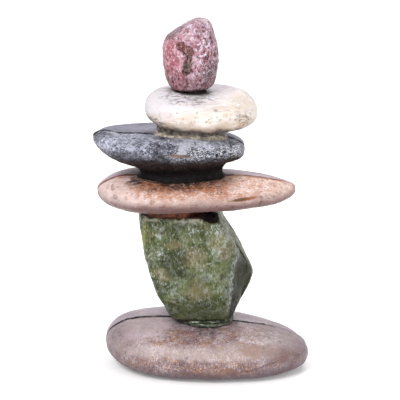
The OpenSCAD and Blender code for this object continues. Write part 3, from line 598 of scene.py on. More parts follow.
class Paint:
    """Builds one material out of layers. Sizes and places are millimetres in the part's frame."""

    def __init__(self, name):
        self.material = bpy.data.materials.new(name)
        self.material.use_nodes = True
        self.tree = self.material.node_tree
        self.tree.nodes.clear()
        self.place = self.node("ShaderNodeTexCoord", {}).outputs["Object"]
        self.heights = []
        self.colour = None

    def node(self, kind, inputs, **settings):
        """A new node with its settings made and its inputs set or linked."""
        made = self.tree.nodes.new(kind)
        for key, value in settings.items():
            setattr(made, key, value)
        for key, value in inputs.items():
            if isinstance(value, bpy.types.NodeSocket):
                self.tree.links.new(value, made.inputs[key])
            else:
                made.inputs[key].default_value = rgba(value) if isinstance(value, str) else value
        return made

    def math(self, operation, a, b=0.0, clamp=False):
        return self.node("ShaderNodeMath", {0: a, 1: b}, operation=operation, use_clamp=clamp).outputs[0]

    def times(self, *values):
        return reduce(lambda a, b: self.math("MULTIPLY", a, b), values)

    def plus(self, a, b, clamp=False):
        return self.math("ADD", a, b, clamp)

    def minus(self, a, b):
        return self.math("SUBTRACT", a, b)

    def swing(self, value, reach):
        """A value that runs from 0 to 1 made to run from minus to plus half the reach."""
        return self.times(self.minus(value, 0.5), reach)

    def ragged(self, value, size, reach, seed):
        """The value, shifted up and down by noise so that a limit on it has a ragged edge."""
        return self.plus(value, self.swing(self.noise(size, 5, seed, 0.3, 0.62), reach))

    def most(self, *values):
        return reduce(lambda a, b: self.math("MAXIMUM", a, b), values)

    def moved(self, seed, stretch):
        """The place in the part, shifted by seed and stretched."""
        return self.node("ShaderNodeMapping", {
            "Vector": self.place, "Location": (0.37 * seed, 0.61 * seed, 0.23 * seed),
            "Scale": stretch}).outputs[0]

    def noise(self, size, detail=3.0, seed=1, warp=0.0, rough=0.55, stretch=(1, 1, 1)):
        return self.node("ShaderNodeTexNoise", {
            "Vector": self.moved(seed, stretch), "Scale": 1000.0 / size, "Detail": detail, "Roughness": rough,
            "Distortion": warp}).outputs[0]

    def cell_edges(self, size, seed):
        """How far a point lies from the edge of its cell."""
        return self.node("ShaderNodeTexVoronoi", {
            "Vector": self.moved(seed, (1, 1, 1)), "Scale": 1000.0 / size},
            feature="DISTANCE_TO_EDGE").outputs["Distance"]

    def rise(self, value, low, high, to=(0.0, 1.0)):
        """Smooth rise from 0 at low to 1 at high; low may be above high."""
        return self.node("ShaderNodeMapRange", {
            "Value": value, "From Min": low, "From Max": high, "To Min": to[0], "To Max": to[1]},
            interpolation_type="SMOOTHSTEP").outputs[0]

    def mark(self, name):
        made = self.node("ShaderNodeAttribute", {}, attribute_name=name, attribute_type="GEOMETRY")
        return made.outputs["Fac"]

    def axis(self, name):
        return self.times(self.node("ShaderNodeSeparateXYZ", {0: self.place}).outputs[name], 1000.0)

    def spot(self, x, z, rx, rz, turn=0.0, ragged=0.3, size=None, soft=0.4, seed=3):
        """1 inside an ellipse of the front view, fading to 0 over its ragged edge."""
        place = self.node("ShaderNodeMapping", {
            "Vector": self.place, "Location": (x * MM, 0, z * MM), "Rotation": (0, -math.radians(turn), 0),
            "Scale": (rx * MM, 1e3, rz * MM)}, vector_type="TEXTURE").outputs[0]
        far = self.node("ShaderNodeVectorMath", {0: place}, operation="LENGTH").outputs["Value"]
        edge = self.swing(self.noise(size or (rx + rz) / 2.5, 4, seed, 0.3, 0.65), 4 * ragged)
        return self.rise(self.plus(far, edge), 1 + soft, 1 - soft)

    def ramp(self, value, *stops):
        made = self.node("ShaderNodeValToRGB", {0: value})
        band = made.color_ramp
        for k, (at, colour) in enumerate(stops):
            stop = band.elements[k] if k < 2 else band.elements.new(at)
            stop.position = at
            stop.color = rgba(colour)
        return made.outputs[0]

    def over(self, under, colour, amount):
        """A layer of colour over another, as thick as amount from 0 to 1."""
        return self.node("ShaderNodeMix", {0: amount, 6: under, 7: colour}, data_type="RGBA",
                         blend_type="MIX").outputs[2]

    def plain(self, size, *tones):
        """Three close tones in soft blotches, as on the back halves."""
        return self.ramp(self.noise(size, 4, 1, 0.3, 0.5), *zip((0.3, 0.5, 0.7), tones))

    def lay(self, colour, *amounts):
        """A layer of colour over what is there, as thick as the amounts multiplied."""
        self.colour = self.over(self.colour, colour, self.times(*amounts))

    def fleck(self, colour, low, high, most, *noise):
        """Flecks of colour up to most thick, where the noise is past low and high."""
        self.lay(colour, self.rise(self.noise(*noise), low, high, (0, most)))

    def bump(self, height, depth):
        """Adds relief: height from 0 to 1, depth in millimetres."""
        self.heights.append((height, depth))

    def finish(self, rough=0.6, metal=0.0, specular=0.5, coat=0.0, through=0.0, ior=1.5, glow=0.0):
        """The shader: rough may be painted, and the other numbers are the same all over."""
        inputs = {
            "Base Color": self.colour, "Roughness": rough, "Metallic": metal, "Specular IOR Level": specular,
            "Coat Weight": coat, "Coat Roughness": 0.2, "Transmission Weight": through, "IOR": ior,
            "Emission Color": (1, 1, 1, 1), "Emission Strength": glow,
        }
        for height, depth in self.heights:
            relief = {"Strength": 1.0, "Distance": depth * MM, "Height": height}
            if "Normal" in inputs:
                relief["Normal"] = inputs["Normal"]
            inputs["Normal"] = self.node("ShaderNodeBump", relief).outputs[0]
        shader = self.node("ShaderNodeBsdfPrincipled", inputs)
        self.node("ShaderNodeOutputMaterial", {"Surface": shader.outputs[0]})
        return self.material


def stone_finish(t, gloss, seam_colour, pit_colour, seam=0.95, pit=0.85, fine=0.12, specular=0.35,
                 seam_end=None):
    """The last layers that every stone has: pits, the dark parting line, fine relief and gloss."""
    t.lay(pit_colour, t.mark("pit"), pit)
    broken = t.rise(t.noise(9, 3, 31), 0.3, 0.5, (0.45, 1.0))
    line = t.rise(t.mark("seam"), 0.2, 0.75)
    if seam_end:
        line = t.times(line, t.rise(t.axis("X"), seam_end + 10, seam_end - 10, (0.12, 1.0)))
    t.lay(seam_colour, line, broken, seam)
    t.bump(t.noise(1.6, 4, 41, 0.0, 0.7), fine)
    t.bump(t.noise(4.5, 3, 42, 0.2, 0.6), fine * 2)
    low, high = gloss
    rough = t.rise(t.noise(5, 4, 43), 0.3, 0.7, (low, high))
    rough = t.plus(rough, t.times(t.most(t.mark("pit"), t.mark("hollow")), 0.35), True)
    return t.finish(rough, specular=specular)


def dry_brush(t, pale, dark, size=1.7, pale_amount=0.75, dark_amount=0.7, seed=60, where=None,
              stretch=(1, 1, 1.15)):
    """Crisp flecks of paint dragged over a rough skin, and dark where the brush didn't reach."""
    fleck = t.noise(size, 3, seed, 0.5, 0.66, stretch)
    fleck = t.plus(fleck, t.swing(t.mark("raised"), 0.22))
    strokes = t.rise(fleck, 0.55, 0.63)
    hollows = t.rise(fleck, 0.45, 0.36)
    if where is not None:
        strokes = t.times(strokes, where)
    t.lay(dark, hollows, dark_amount)
    t.lay(pale, strokes, pale_amount)


def crown_paint(name, face):
    t = Paint(name)
    z, x = t.axis("Z"), t.axis("X")
    t.colour = t.ramp(t.noise(8, 5, 1, 0.8, 0.65), (0.3, "#774650"), (0.43, "#9c6a75"), (0.54, "#b28c98"),
                      (0.66, "#c6aab7"), (0.78, "#d8cdd9"))
    red = t.rise(t.ragged(x, 9, 30, 12), -12, -24)
    t.lay("#a8525b", red, 0.5)
    dry_brush(t, "#e0d2de", "#5a2b33", 1.8, 0.55, 0.7, 60, None, (1, 1, 0.85))
    frost_where = t.most(t.rise(x, -14, 2), t.rise(z, 330, 346))
    frost = t.times(t.rise(t.noise(5, 4, 18, 0.4, 0.75), 0.52, 0.59), frost_where)
    t.lay("#dcd3e2", frost, 0.75)
    speck_where = t.most(t.rise(t.ragged(x, 8, 16, 19), -12, 4), t.rise(t.ragged(z, 8, 20, 20), 312, 298))
    speck = t.rise(t.noise(3.0, 3, 16, 0.7, 0.6, (1, 1, 0.6)), 0.555, 0.585)
    t.lay("#2b151d", speck, t.rise(speck_where, 0, 1, (0.3, 1.0)), 0.95)
    top = t.ragged(t.plus(z, t.times(x, 0.8)), 9, 40, 4)
    t.lay("#c9b9cb", t.rise(top, 332, 356, (0, 0.2)))
    brick = t.times(t.rise(t.noise(2.6, 3, 5, 0.6, 0.6), 0.53, 0.57), t.rise(x, -16, 6))
    t.lay("#843a41", brick, 0.7)
    edge = t.spot(-26, 346, 13, 4.0, 42, 0.5, 5)
    t.lay("#5c4a50", edge, 0.6)
    # Darker towards the bottom: painted shade on the underside.
    low = t.rise(t.ragged(z, 7, 34, 6), 314, 294)
    t.lay("#6c4a50", low, 0.55)
    if face:
        gray = t.times(t.spot(10, 308, 8, 13, 0, 0.5), t.rise(t.noise(2.4, 3, 13, 0.5), 0.45, 0.52))
        t.lay("#4b444c", gray, 0.75)
        # The hollow's inside is painted near-black: partly painted shade in the recess, partly its own dark
        # red and pale flecks.
        hollow = t.rise(t.mark("hollow"), 0.25, 0.6)
        inside = t.ramp(t.noise(2.2, 4, 8, 0.3, 0.75), (0.38, "#231716"), (0.5, "#574441"), (0.62, "#8f7670"))
        inside = t.over(inside, "#733538", t.rise(z, 321, 331, (0, 0.6)))
        inside = t.over(inside, "#b99a95", t.rise(t.noise(2.6, 3, 21, 0.6), 0.55, 0.62, (0, 0.7)))
        rim = t.times(t.rise(t.mark("hollow"), 0.03, 0.2), t.rise(t.mark("hollow"), 0.6, 0.3))
        t.lay("#5a2a30", rim, 0.7)
        t.lay(inside, hollow)
    # Near-black round the crown's foot: painted shade between the crown and the cushion.
    contact = t.rise(t.ragged(z, 6, 5, 11), 290.5, 286.8)
    t.lay("#231819", contact, 0.85)
    return stone_finish(t, (0.28, 0.55), "#4a3237", "#3a1c21", 0.15, 0.95, 0.16)


def cushion_paint(name, face):
    t = Paint(name)
    z, x = t.axis("Z"), t.axis("X")
    t.colour = t.ramp(t.noise(22, 5, 1, 0.5, 0.6), (0.3, "#c4b5ac"), (0.42, "#d3c7bf"), (0.56, "#ded4ce"),
                      (0.75, "#e6dfda"))
    streak = t.noise(9, 5, 2, 0.5, 0.65, (0.35, 1, 2.6))
    t.lay("#dbc5a2", t.rise(streak, 0.52, 0.64, (0, 0.5)))
    t.lay("#ebe7e5", t.rise(streak, 0.48, 0.38, (0, 0.8)))
    fine = t.noise(3.2, 4, 13, 0.5, 0.65, (0.3, 1, 1.8))
    t.lay("#a89683", t.rise(fine, 0.55, 0.65, (0, 0.42)))
    t.fleck("#d9b9a2", 0.58, 0.7, 0.3, 12, 4, 3, 0.6)
    cool = t.rise(t.ragged(t.minus(z, t.times(x, 0.25)), 12, 20, 14), 268, 284)
    t.lay("#d6d2dc", cool, 0.7)
    plain = t.plain(26, "#cdc6cf", "#dad4dc", "#e5e0e4")
    t.lay(plain, t.rise(t.ragged(t.axis("Y"), 14, 24, 23), -8, 22))
    vein = t.plus(t.cell_edges(17, 4), t.times(t.noise(5, 4, 5), 0.12))
    t.lay("#a99a8e", t.rise(vein, 0.1, 0.055), t.rise(t.noise(18, 2, 6), 0.5, 0.62), 0.35)
    # Darker and warmer towards the bottom, near-black at the lower edge: painted shade on the underside over
    # the upper neck.
    low = t.ragged(z, 11, 16, 8)
    t.lay("#a88f77", t.rise(low, 265, 252, (0, 0.72)))
    t.lay("#3f3531", t.rise(low, 255.5, 249, (0, 0.9)))
    brush = t.rise(t.noise(3.0, 4, 15, 0.8, 0.65, (0.4, 1, 1.5)), 0.46, 0.56)
    if face:
        # A brushed grey patch round the crown's foot: painted shade where the crown sits.
        crown_foot_shade = t.times(t.spot(-10, 284.5, 27, 6.5, 0, 0.5, 8), brush)
        t.lay("#6f6866", crown_foot_shade, 0.7)
        # At the right, a brownish stain that is the stone's own colour.
        stain_and_shade = t.times(t.spot(42, 262, 11, 6, -14, 0.5, 5), brush)
        t.lay("#927b62", stain_and_shade, 0.7)
        # A brushed dark patch at the lower left, beside the upper neck: painted shade.
        stain_and_shade = t.times(t.spot(-40, 255, 20, 6, -24, 0.5, 6), brush)
        t.lay("#64594f", stain_and_shade, 0.75)
    # Near-black on the top within about 20 mm of the crown's foot: painted shade round where the crown sits.
    apart = t.node("ShaderNodeVectorMath", {0: t.place, 1: (-9 * MM, 0, 284 * MM)}, operation="DISTANCE")
    close = t.rise(t.ragged(t.times(apart.outputs["Value"], 1000.0), 5, 12, 9), 22, 17)
    t.lay("#2e2624", close, t.rise(z, 281, 283.5), 0.85)
    return stone_finish(t, (0.42, 0.65), "#b5aaa6", "#6f5c4e", 0.3, 0.85, 0.12)


def wedge_paint(name, face):
    t = Paint(name)
    z, x = t.axis("Z"), t.axis("X")
    if not face:
        t.colour = t.plain(30, "#6c6978", "#817d90", "#9692a3")
        t.fleck("#504c56", 0.47, 0.36, 0.6, 3, 5, 2, 0.2, 0.7)
        t.fleck("#b6b2bd", 0.57, 0.64, 0.4, 2.4, 3, 3, 0.5, 0.6)
        # Darker towards the bottom: painted shade on the underside.
        t.lay("#2b282d", t.rise(t.ragged(z, 10, 10, 4), 224, 213, (0, 0.9)))
        return stone_finish(t, (0.45, 0.65), "#1d181b", "#44404a", 1.0, 0.7, 0.14)
    t.colour = t.ramp(t.noise(11, 5, 1, 0.8, 0.68), (0.32, "#202025"), (0.45, "#3a3a44"), (0.56, "#575865"),
                      (0.72, "#7b7c8c"))
    light = t.most(t.spot(-72, 239, 36, 6, 6, 0.5, 9), t.spot(4, 239, 32, 4, -4, 0.5, 9))
    t.lay("#b1b3c6", light, 0.65)
    t.fleck("#1f1f25", 0.46, 0.38, 0.75, 4.5, 4, 19, 0.8, 0.65)
    patch = t.rise(t.noise(16, 3, 3), 0.36, 0.56, (0.3, 1.0))
    patch = t.times(patch, t.rise(t.ragged(z, 12, 10, 18), 224, 240, (0.15, 1.0)))
    dry_brush(t, "#ccd0e0", "#1a191d", 1.7, 0.85, 0.85, 61, patch, (0.85, 1, 1.3))
    bends = t.noise(13, 3, 4, 1.6, 0.5, (1, 1, 2.2)), t.noise(10, 3, 17, 1.8, 0.5, (1, 1, 2.0))
    arcs = t.most(*[t.times(t.rise(bend, 0.476, 0.494), t.rise(bend, 0.524, 0.506)) for bend in bends])
    arcs = t.times(arcs, t.rise(x, -40, -5, (0.15, 1.0)), t.rise(z, 216, 221))
    t.lay("#e3e4ee", arcs, 0.9)
    right = t.rise(t.ragged(t.plus(x, t.times(z, 0.12)), 6, 4, 20), 66.5, 70.5)
    t.lay("#8c889a", right, 0.7)
    # Near-black over the lower part: painted shade on the underside over the slab.
    low = t.ragged(z, 9, 12, 5)
    t.lay("#120f11", t.rise(low, 230, 220, (0, 0.97)))
    stroke = t.rise(t.noise(2.6, 4, 6, 0.5, 0.6, (1.6, 1, 0.3)), 0.52, 0.6)
    brown = t.times(t.rise(low, 226, 219), stroke)
    t.lay("#4a3832", brown, 0.6)
    t.lay("#c4c7d4", t.spot(-15, 236.5, 8, 4.0, 35, 0.5, 4), 0.6)
    t.lay("#7a5f50", t.spot(-20, 230.3, 12, 1.4, -4, 0.5, 4), 0.85)
    return stone_finish(t, (0.34, 0.56), "#0d0b0c", "#171516", 1.0, 0.8, 0.2, 0.18)


def slab_paint(name, face):
    t = Paint(name)
    z, x = t.axis("Z"), t.axis("X")
    if not face:
        t.colour = t.plain(34, "#a8969f", "#bfacb5", "#cfc0c7")
        t.fleck("#84696c", 0.46, 0.34, 0.55, 3.4, 5, 2, 0.2, 0.7)
        # Darker towards the bottom: painted shade on the underside.
        t.lay("#6d585b", t.rise(z, 181, 169, (0, 0.75)))
        # Dark round the middle neck on the top: painted shade under the wedge.
        around = t.spot(-20, 199, 52, 4, 0, 0.5, 7)
        t.lay("#3d2f30", around, 0.6)
        return stone_finish(t, (0.45, 0.65), "#6b3a24", "#5d464a", 0.9, 0.7, 0.12, 0.3, 84)
    t.colour = t.ramp(t.noise(15, 5, 1, 0.5, 0.6), (0.3, "#aa8679"), (0.43, "#be9b90"), (0.55, "#caada4"),
                      (0.72, "#d5c0ba"))
    upper = t.times(t.rise(t.ragged(z, 13, 16, 9), 186, 195), t.rise(t.ragged(x, 16, 40, 17), 45, 5))
    rust_where = t.most(upper, t.spot(-80, 184, 20, 8, 0, 0.5, 6))
    rust = t.noise(2.4, 4, 2, 0.8, 0.68, (0.8, 1, 1.3))
    t.lay("#cf8143", t.rise(rust, 0.46, 0.54), t.rise(rust_where, 0, 1, (0.5, 1.0)), 0.85)
    flecks = t.rise(t.noise(1.8, 4, 24, 0.8, 0.7), 0.53, 0.58)
    flecks = t.times(flecks, t.rise(t.noise(14, 3, 25), 0.36, 0.54))
    t.lay("#c8773a", flecks, t.rise(x, 90, 60, (0.3, 1.0)), 0.5)
    dry_brush(t, "#eee4e6", "#7a5346", 1.6, 0.72, 0.42, 62, None, (0.8, 1, 1.3))
    # A pale band across the middle height of the front: painted highlight on the front's bulge.
    band = t.ragged(z, 20, 10, 4)
    t.lay("#ecd8d0", t.rise(band, 178, 183), t.rise(band, 190, 186), 0.4)
    streak = t.noise(7, 4, 11, 0.5, 0.6, (0.25, 1, 2.2))
    t.lay("#8f5a33", t.rise(streak, 0.56, 0.64), t.rise(z, 192, 184), 0.6)
    t.lay("#a85a28", t.spot(-22, 197, 60, 3.5, 0, 0.5, 8), 0.3)
    # Paler at the left end: painted highlight.
    t.lay("#f3dfdc", t.spot(-84, 188, 26, 11, 0, 0.5, 7), 0.6)
    brush = t.rise(t.noise(2.8, 4, 15, 0.8, 0.65, (0.6, 1, 1)), 0.4, 0.5)
    # Brushed near-black along the top under the wedge: painted shade between the slab and the wedge.
    stain_and_shade = t.most(t.spot(-18, 199.6, 47, 5.0, 0, 0.5, 5), t.spot(-60, 198, 12, 1.8, 8, 0.5, 5))
    t.lay("#1c191c", stain_and_shade, brush, 0.92)
    ochre = t.spot(43, 186.5, 13, 1.3, 3, 0.5, 4)
    t.lay("#c0761f", ochre, 0.8)
    t.lay("#6d5c3f", ochre, t.rise(t.ragged(x, 5, 10, 21), 48, 42), 0.7)
    ring = t.times(t.rise(t.mark("hollow"), 0.02, 0.12), t.rise(t.mark("hollow"), 0.95, 0.5))
    t.lay("#6b4636", ring, 0.42)
    t.lay("#8a6a56", t.rise(t.mark("hollow"), 0.5, 0.9), 0.35)
    # Darker towards the bottom: painted shade on the underside.
    t.lay("#5e4446", t.rise(t.ragged(z, 14, 6, 12), 192, 178, (0, 0.88)))
    rim = t.times(t.rise(t.mark("seam"), 0.02, 0.4), t.rise(x, 88, 66), 0.6)
    t.lay("#c47434", rim)
    parting = t.over("#160c09", "#7c3f1a", t.most(t.rise(x, -64, -86), t.rise(x, 26, 44)))
    return stone_finish(t, (0.32, 0.52), parting, "#4d2b1e", 1.0, 0.8, 0.16, 0.3, 84)


def pillar_paint(name, face):
    t = Paint(name)
    z, x = t.axis("Z"), t.axis("X")
    t.colour = t.ramp(t.noise(20, 5, 1, 0.6, 0.6), (0.3, "#343a24"), (0.44, "#4a5131"), (0.56, "#5c6341"),
                      (0.72, "#6f7558"))
    tan = t.noise(12, 5, 2, 0.8, 0.65)
    t.lay("#7d6f4c", t.rise(tan, 0.56, 0.68, (0, 0.55)))
    t.fleck("#49571c", 0.54, 0.66, 0.6, 13, 4, 3, 0.5)
    patch = t.rise(t.noise(20, 3, 5), 0.38, 0.56, (0.3, 1.0))
    left = t.rise(t.ragged(t.plus(z, t.times(x, -0.6)), 24, 50, 14), 90, 150, (0.45, 1.0))
    dry_brush(t, "#bdc5c6", "#20240f", 1.8, 0.7, 0.7, 63, t.times(patch, left), (1.25, 1, 0.65))
    haze = t.rise(t.noise(9, 5, 15, 0.6, 0.7), 0.52, 0.66)
    t.lay("#9ea3a0", haze, 0.45)
    # Darker towards the bottom: painted shade.
    low = t.ragged(z, 20, 30, 6)
    t.lay("#363a28", t.rise(low, 84, 60, (0, 0.5)))
    # Near-black over the right side below the top: painted shade on the side away from the key lamp.
    side = t.rise(t.ragged(t.plus(x, t.times(z, -0.12)), 9, 4, 16), 19.5, 24)
    side = t.times(side, t.rise(z, 132, 120), t.rise(t.ragged(t.axis("Y"), 12, 20, 17), 18, -6))
    t.lay("#1c190e", side, 0.86)
    if face:
        tan_patch = t.most(t.spot(-4, 122, 12, 10, -20, 0.5, 7), t.spot(-26, 134, 9, 4, 10, 0.5, 6),
                           t.spot(22, 136, 10, 14, 30, 0.5, 7), t.spot(-2, 88, 13, 9, 10, 0.5, 7),
                           t.spot(-38, 104, 9, 6, -30, 0.5, 6))
        t.lay("#8d7c60", tan_patch, 0.34)
        # Dark in the two carved scoops on the left: painted shade in the recesses.
        dent = t.most(t.spot(-31, 117, 17, 6, 12, 0.35, 7), t.spot(-20, 105, 13, 4.5, -8, 0.35, 7))
        t.lay("#262b12", dent, 0.55)
        t.lay("#858338", t.spot(-56.4, 138, 1.9, 22, -6, 0.4, 6), 0.55)
        ridge = t.most(t.spot(36, 117, 2.0, 11, -34, 0.6, 3), t.spot(31, 94, 2.0, 15, -2, 0.6, 3),
                       t.spot(28.5, 70, 2.0, 11, -12, 0.6, 3), t.spot(26, 140, 2.4, 16, -30, 0.6, 4))
        t.lay("#a3aaa6", ridge, t.rise(t.noise(3, 4, 22), 0.42, 0.55), 0.6)
        rim = t.times(t.rise(z, 155.5, 158.5), t.rise(x, 4, -2), t.rise(t.noise(6, 4, 8, 0.8), 0.44, 0.56))
        t.lay("#bdb8a4", rim, 0.7)
        # Dark brown in the notch under the slab: painted shade.
        notch = t.rise(t.mark("hollow"), 0.12, 0.4)
        t.lay("#2a1d19", notch)
    # Dark red-brown on the flat top: painted shade in the gap under the slab.
    flat = t.rise(t.ragged(z, 12, 0.8, 18), 160.6, 161.2)
    t.lay("#44281e", flat, 0.95)
    # Near-black at the foot: painted shade where the pillar meets the base.
    foot = t.ragged(z, 6, 8, 9)
    t.lay("#15170d", t.rise(foot, 56, 51.5, (0, 0.85)))
    return stone_finish(t, (0.28, 0.52), "#1b1c10", "#1b1d10", 0.08, 0.75, 0.22, 0.22)


def base_paint(name, face):
    t = Paint(name)
    z, x = t.axis("Z"), t.axis("X")
    if not face:
        t.colour = t.plain(36, "#94878f", "#a99ba3", "#bbaeb3")
        t.fleck("#6c5e64", 0.46, 0.34, 0.6, 3.4, 5, 2, 0.2, 0.7)
        t.fleck("#c2b7c0", 0.57, 0.64, 0.4, 2.4, 3, 3, 0.5, 0.6)
        # Darker towards the bottom: painted shade on the underside.
        t.lay("#564b51", t.rise(z, 20, 3, (0, 0.7)))
        return stone_finish(t, (0.45, 0.65), "#1f1617", "#463a3e", 1.0, 0.7, 0.14, 0.35, 74)
    t.colour = t.ramp(t.noise(22, 5, 1, 0.5, 0.62), (0.3, "#7a6263"), (0.45, "#887072"), (0.56, "#957f82"),
                      (0.72, "#a49298"))
    tan = t.noise(14, 5, 2, 0.8, 0.66, (0.8, 1, 1.8))
    t.lay("#946846", t.rise(tan, 0.47, 0.62, (0, 0.72)))
    t.fleck("#86686f", 0.55, 0.68, 0.5, 18, 4, 3, 0.5)
    dry_brush(t, "#dad0d2", "#503a36", 1.4, 0.58, 0.68, 64, None, (1.2, 1, 0.8))
    # A pale band across the middle height of the front: painted highlight on the front's bulge.
    high = t.ragged(z, 26, 14, 5)
    t.lay("#cbbdbb", t.rise(high, 22, 28), t.rise(high, 42, 34), 0.42)
    streak = t.noise(6, 4, 11, 0.6, 0.6, (0.3, 1, 2.2))
    t.lay("#c0b0ae", t.rise(streak, 0.57, 0.68, (0, 0.3)))
    ochre = t.most(t.spot(58, 32, 20, 5, -8, 0.5, 8), t.spot(84, 24, 12, 5, -20, 0.5, 7),
                   t.spot(20, 12, 30, 4, 0, 0.5, 8))
    t.lay("#8b5f38", ochre, 0.4)
    # Paler on the top at the left: painted highlight.
    t.lay("#d3c3ca", t.spot(-54, 46, 34, 6, 10, 0.5, 8), 0.5)
    brush = t.rise(t.noise(3.0, 4, 15, 0.8, 0.65, (0.5, 1, 1.2)), 0.42, 0.54)
    # A brushed dark band where the pillar stands: painted shade round the pillar's foot.
    t.lay("#4d474c", t.spot(8, 46, 13, 2.6, 0, 0.5, 8), brush, 0.75)
    low = t.ragged(z, 14, 8, 6)
    side = t.most(t.rise(t.ragged(x, 20, 24, 22), 40, 90), t.rise(t.ragged(x, 20, 24, 22), -50, -92))
    t.lay("#66545c", side, 0.6)
    # Darker towards the bottom: painted shade on the underside.
    t.lay("#53434b", t.rise(low, 19, 5, (0, 0.86)))
    return stone_finish(t, (0.32, 0.52), "#1a1112", "#40302b", 1.0, 0.8, 0.16, 0.35, 74)


def neck_paint(name, tones, fleck, dark, edge, edge_colour):
    """A cast neck: three tones in blotches, pale flecks, dark runs and a ragged coloured foot up to edge."""
    t = Paint(name)
    z = t.axis("Z")
    low, middle, high = tones
    t.colour = t.ramp(t.noise(8, 5, 1, 0.5, 0.65), (0.32, low), (0.5, middle), (0.68, high))
    t.fleck(fleck, 0.57, 0.68, 0.5, 2.6, 4, 2, 0.4, 0.7)
    t.fleck(dark, 0.47, 0.36, 0.7, 7, 4, 3, 0.5, 0.7)
    wave = t.swing(t.noise(9, 4, 5, 0.3, 0.6, (0.5, 0.5, 1.6)), 12)
    foot = t.plus(t.plus(z, wave), t.times(t.axis("X"), 0.05))
    worn = t.rise(t.noise(4, 4, 6, 0.5, 0.7, (0.7, 0.7, 1.4)), 0.4, 0.56, (0.12, 0.85))
    t.lay(edge_colour, t.rise(foot, edge + 0.6, edge - 0.6), worn)
    t.bump(t.noise(2.2, 4, 4, 0.2, 0.7), 0.25)
    rough = t.rise(t.noise(5, 3, 5), 0.3, 0.7, (0.5, 0.75))
    return t.finish(rough, specular=0.15)


def ring_paint(name):
    """The green glaze of the collar and the foot ring, with pale strokes that are thicker on the left as
    painted highlight.
    """
    t = Paint(name)
    t.colour = t.ramp(t.noise(7, 5, 1, 0.6, 0.65), (0.34, "#22261d"), (0.48, "#3b4232"), (0.6, "#5d6453"),
                      (0.72, "#989e8e"))
    strokes = t.noise(4, 4, 2, 0.4, 0.7, (0.5, 0.5, 2.5))
    # Pale strokes all round, thicker towards the left: partly the glaze's own streaks, partly painted
    # highlight.
    t.lay("#d4d8cc", t.rise(strokes, 0.53, 0.61), t.rise(t.axis("X"), 10, -8, (0.22, 0.9)))
    t.lay("#1c2116", t.rise(strokes, 0.46, 0.38, (0, 0.8)))
    t.bump(t.noise(2.4, 4, 4, 0.2, 0.7), 0.22)
    return t.finish(t.rise(t.noise(5, 3, 5), 0.3, 0.7, (0.35, 0.6)), specular=0.3)


def moulded(name, colour, rough=0.45, fleck=0.15, grain=0.05, specular=0.5):
    """Moulded plastic or rubber: a faint mottle, a fine grain and worn, duller patches."""
    t = Paint(name)
    t.colour = colour
    t.fleck("#000000", 0.35, 0.65, fleck, 14, 4, 1)
    t.fleck("#ffffff", 0.6, 0.72, fleck * 0.4, 2.5, 4, 2, 0.2, 0.7)
    t.bump(t.noise(0.6, 3, 3, 0.0, 0.6), grain)
    return t.finish(t.rise(t.noise(7, 4, 4), 0.3, 0.7, (rough - 0.06, rough + 0.1)), specular=specular)


def metal(name, colour, tarnish, rough=0.28, lines=(1, 1, 9)):
    """Turned or rolled metal: fine tool lines, faint tarnish."""
    t = Paint(name)
    brushed = t.noise(1.2, 3, 1, 0.0, 0.6, lines)
    t.colour = colour
    t.fleck(tarnish, 0.5, 0.7, 0.45, 5, 4, 2, 0.3)
    t.lay("#ffffff", t.rise(brushed, 0.5, 0.7, (0, 0.2)))
    t.bump(brushed, 0.02)
    return t.finish(t.rise(brushed, 0.3, 0.7, (rough - 0.06, rough + 0.12)), metal=1.0)


def laminated(name):
    """Steel sheets stacked along Y."""
    t = Paint(name)
    sheets = t.math("FRACT", t.times(t.axis("Y"), 2.0))
    edge = t.most(t.rise(sheets, 0.18, 0.0), t.rise(sheets, 0.82, 1.0))
    t.colour = "#8f9195"
    t.lay("#4b4c50", edge, 0.8)
    t.fleck("#7a5a3e", 0.55, 0.7, 0.4, 4, 4, 1)
    t.bump(t.minus(1.0, edge), 0.05)
    return t.finish(t.rise(t.noise(2, 3, 2), 0.3, 0.7, (0.35, 0.5)), metal=0.9)


def wound(name):
    """Enamelled copper wire, wound in level turns."""
    t = Paint(name)
    turns = t.math("FRACT", t.times(t.axis("Z"), 2.2))
    crest = t.times(t.rise(turns, 0.0, 0.5), t.rise(turns, 1.0, 0.5))
    t.colour = "#5c2d14"
    t.lay("#c47a41", crest)
    t.fleck("#7e3f1c", 0.5, 0.7, 0.5, 3, 3, 1)
    t.bump(crest, 0.15)
    return t.finish(t.rise(t.noise(2, 3, 2), 0.3, 0.7, (0.25, 0.4)), metal=0.7, coat=0.3)


def tube_clear(name):
    """Clear soft tubing, a little cloudy."""
    t = Paint(name)
    t.colour = "#dfe6e6"
    t.lay("#b8c4c2", t.rise(t.noise(6, 4, 1), 0.4, 0.7))
    t.bump(t.noise(3, 3, 2), 0.03)
    return t.finish(t.rise(t.noise(4, 3, 3), 0.3, 0.7, (0.1, 0.22)), through=0.6, ior=1.43)


# ---------- making the pieces ----------

NECKS = {
    # The stones below and above. at: middle in x and y. half: reach at the waist. between: a height inside
    # the gap. flare: at the foot and at the top. drop: how far from between the skins may be.
    "lower_neck": ("pillar_stone", "slab_stone", dict(
        at=(-28, 0), half=(31, 29), between=164.5, flare=(1.0, 3.0), drop=5, seed=71)),
    "middle_neck": ("slab_stone", "wedge_stone", dict(
        at=(-20, 0), half=(37.5, 22), between=202.5, flare=(7.5, 13.0), drop=14, seed=72)),
    "upper_neck": ("wedge_stone", "cushion_stone", dict(
        at=(-8.5, 0), half=(34, 21), between=243, flare=(3.5, 0.5), drop=14, seed=73)),
    "top_neck": ("cushion_stone", "crown_stone", dict(
        at=(-9, 0), half=(15, 11.5), between=285.5, flare=(1.0, 0.5), drop=14, seed=74)),
}

STONE_PAINTS = {
    "base_stone": base_paint, "pillar_stone": pillar_paint, "slab_stone": slab_paint,
    "wedge_stone": wedge_paint, "cushion_stone": cushion_paint, "crown_stone": crown_paint,
}

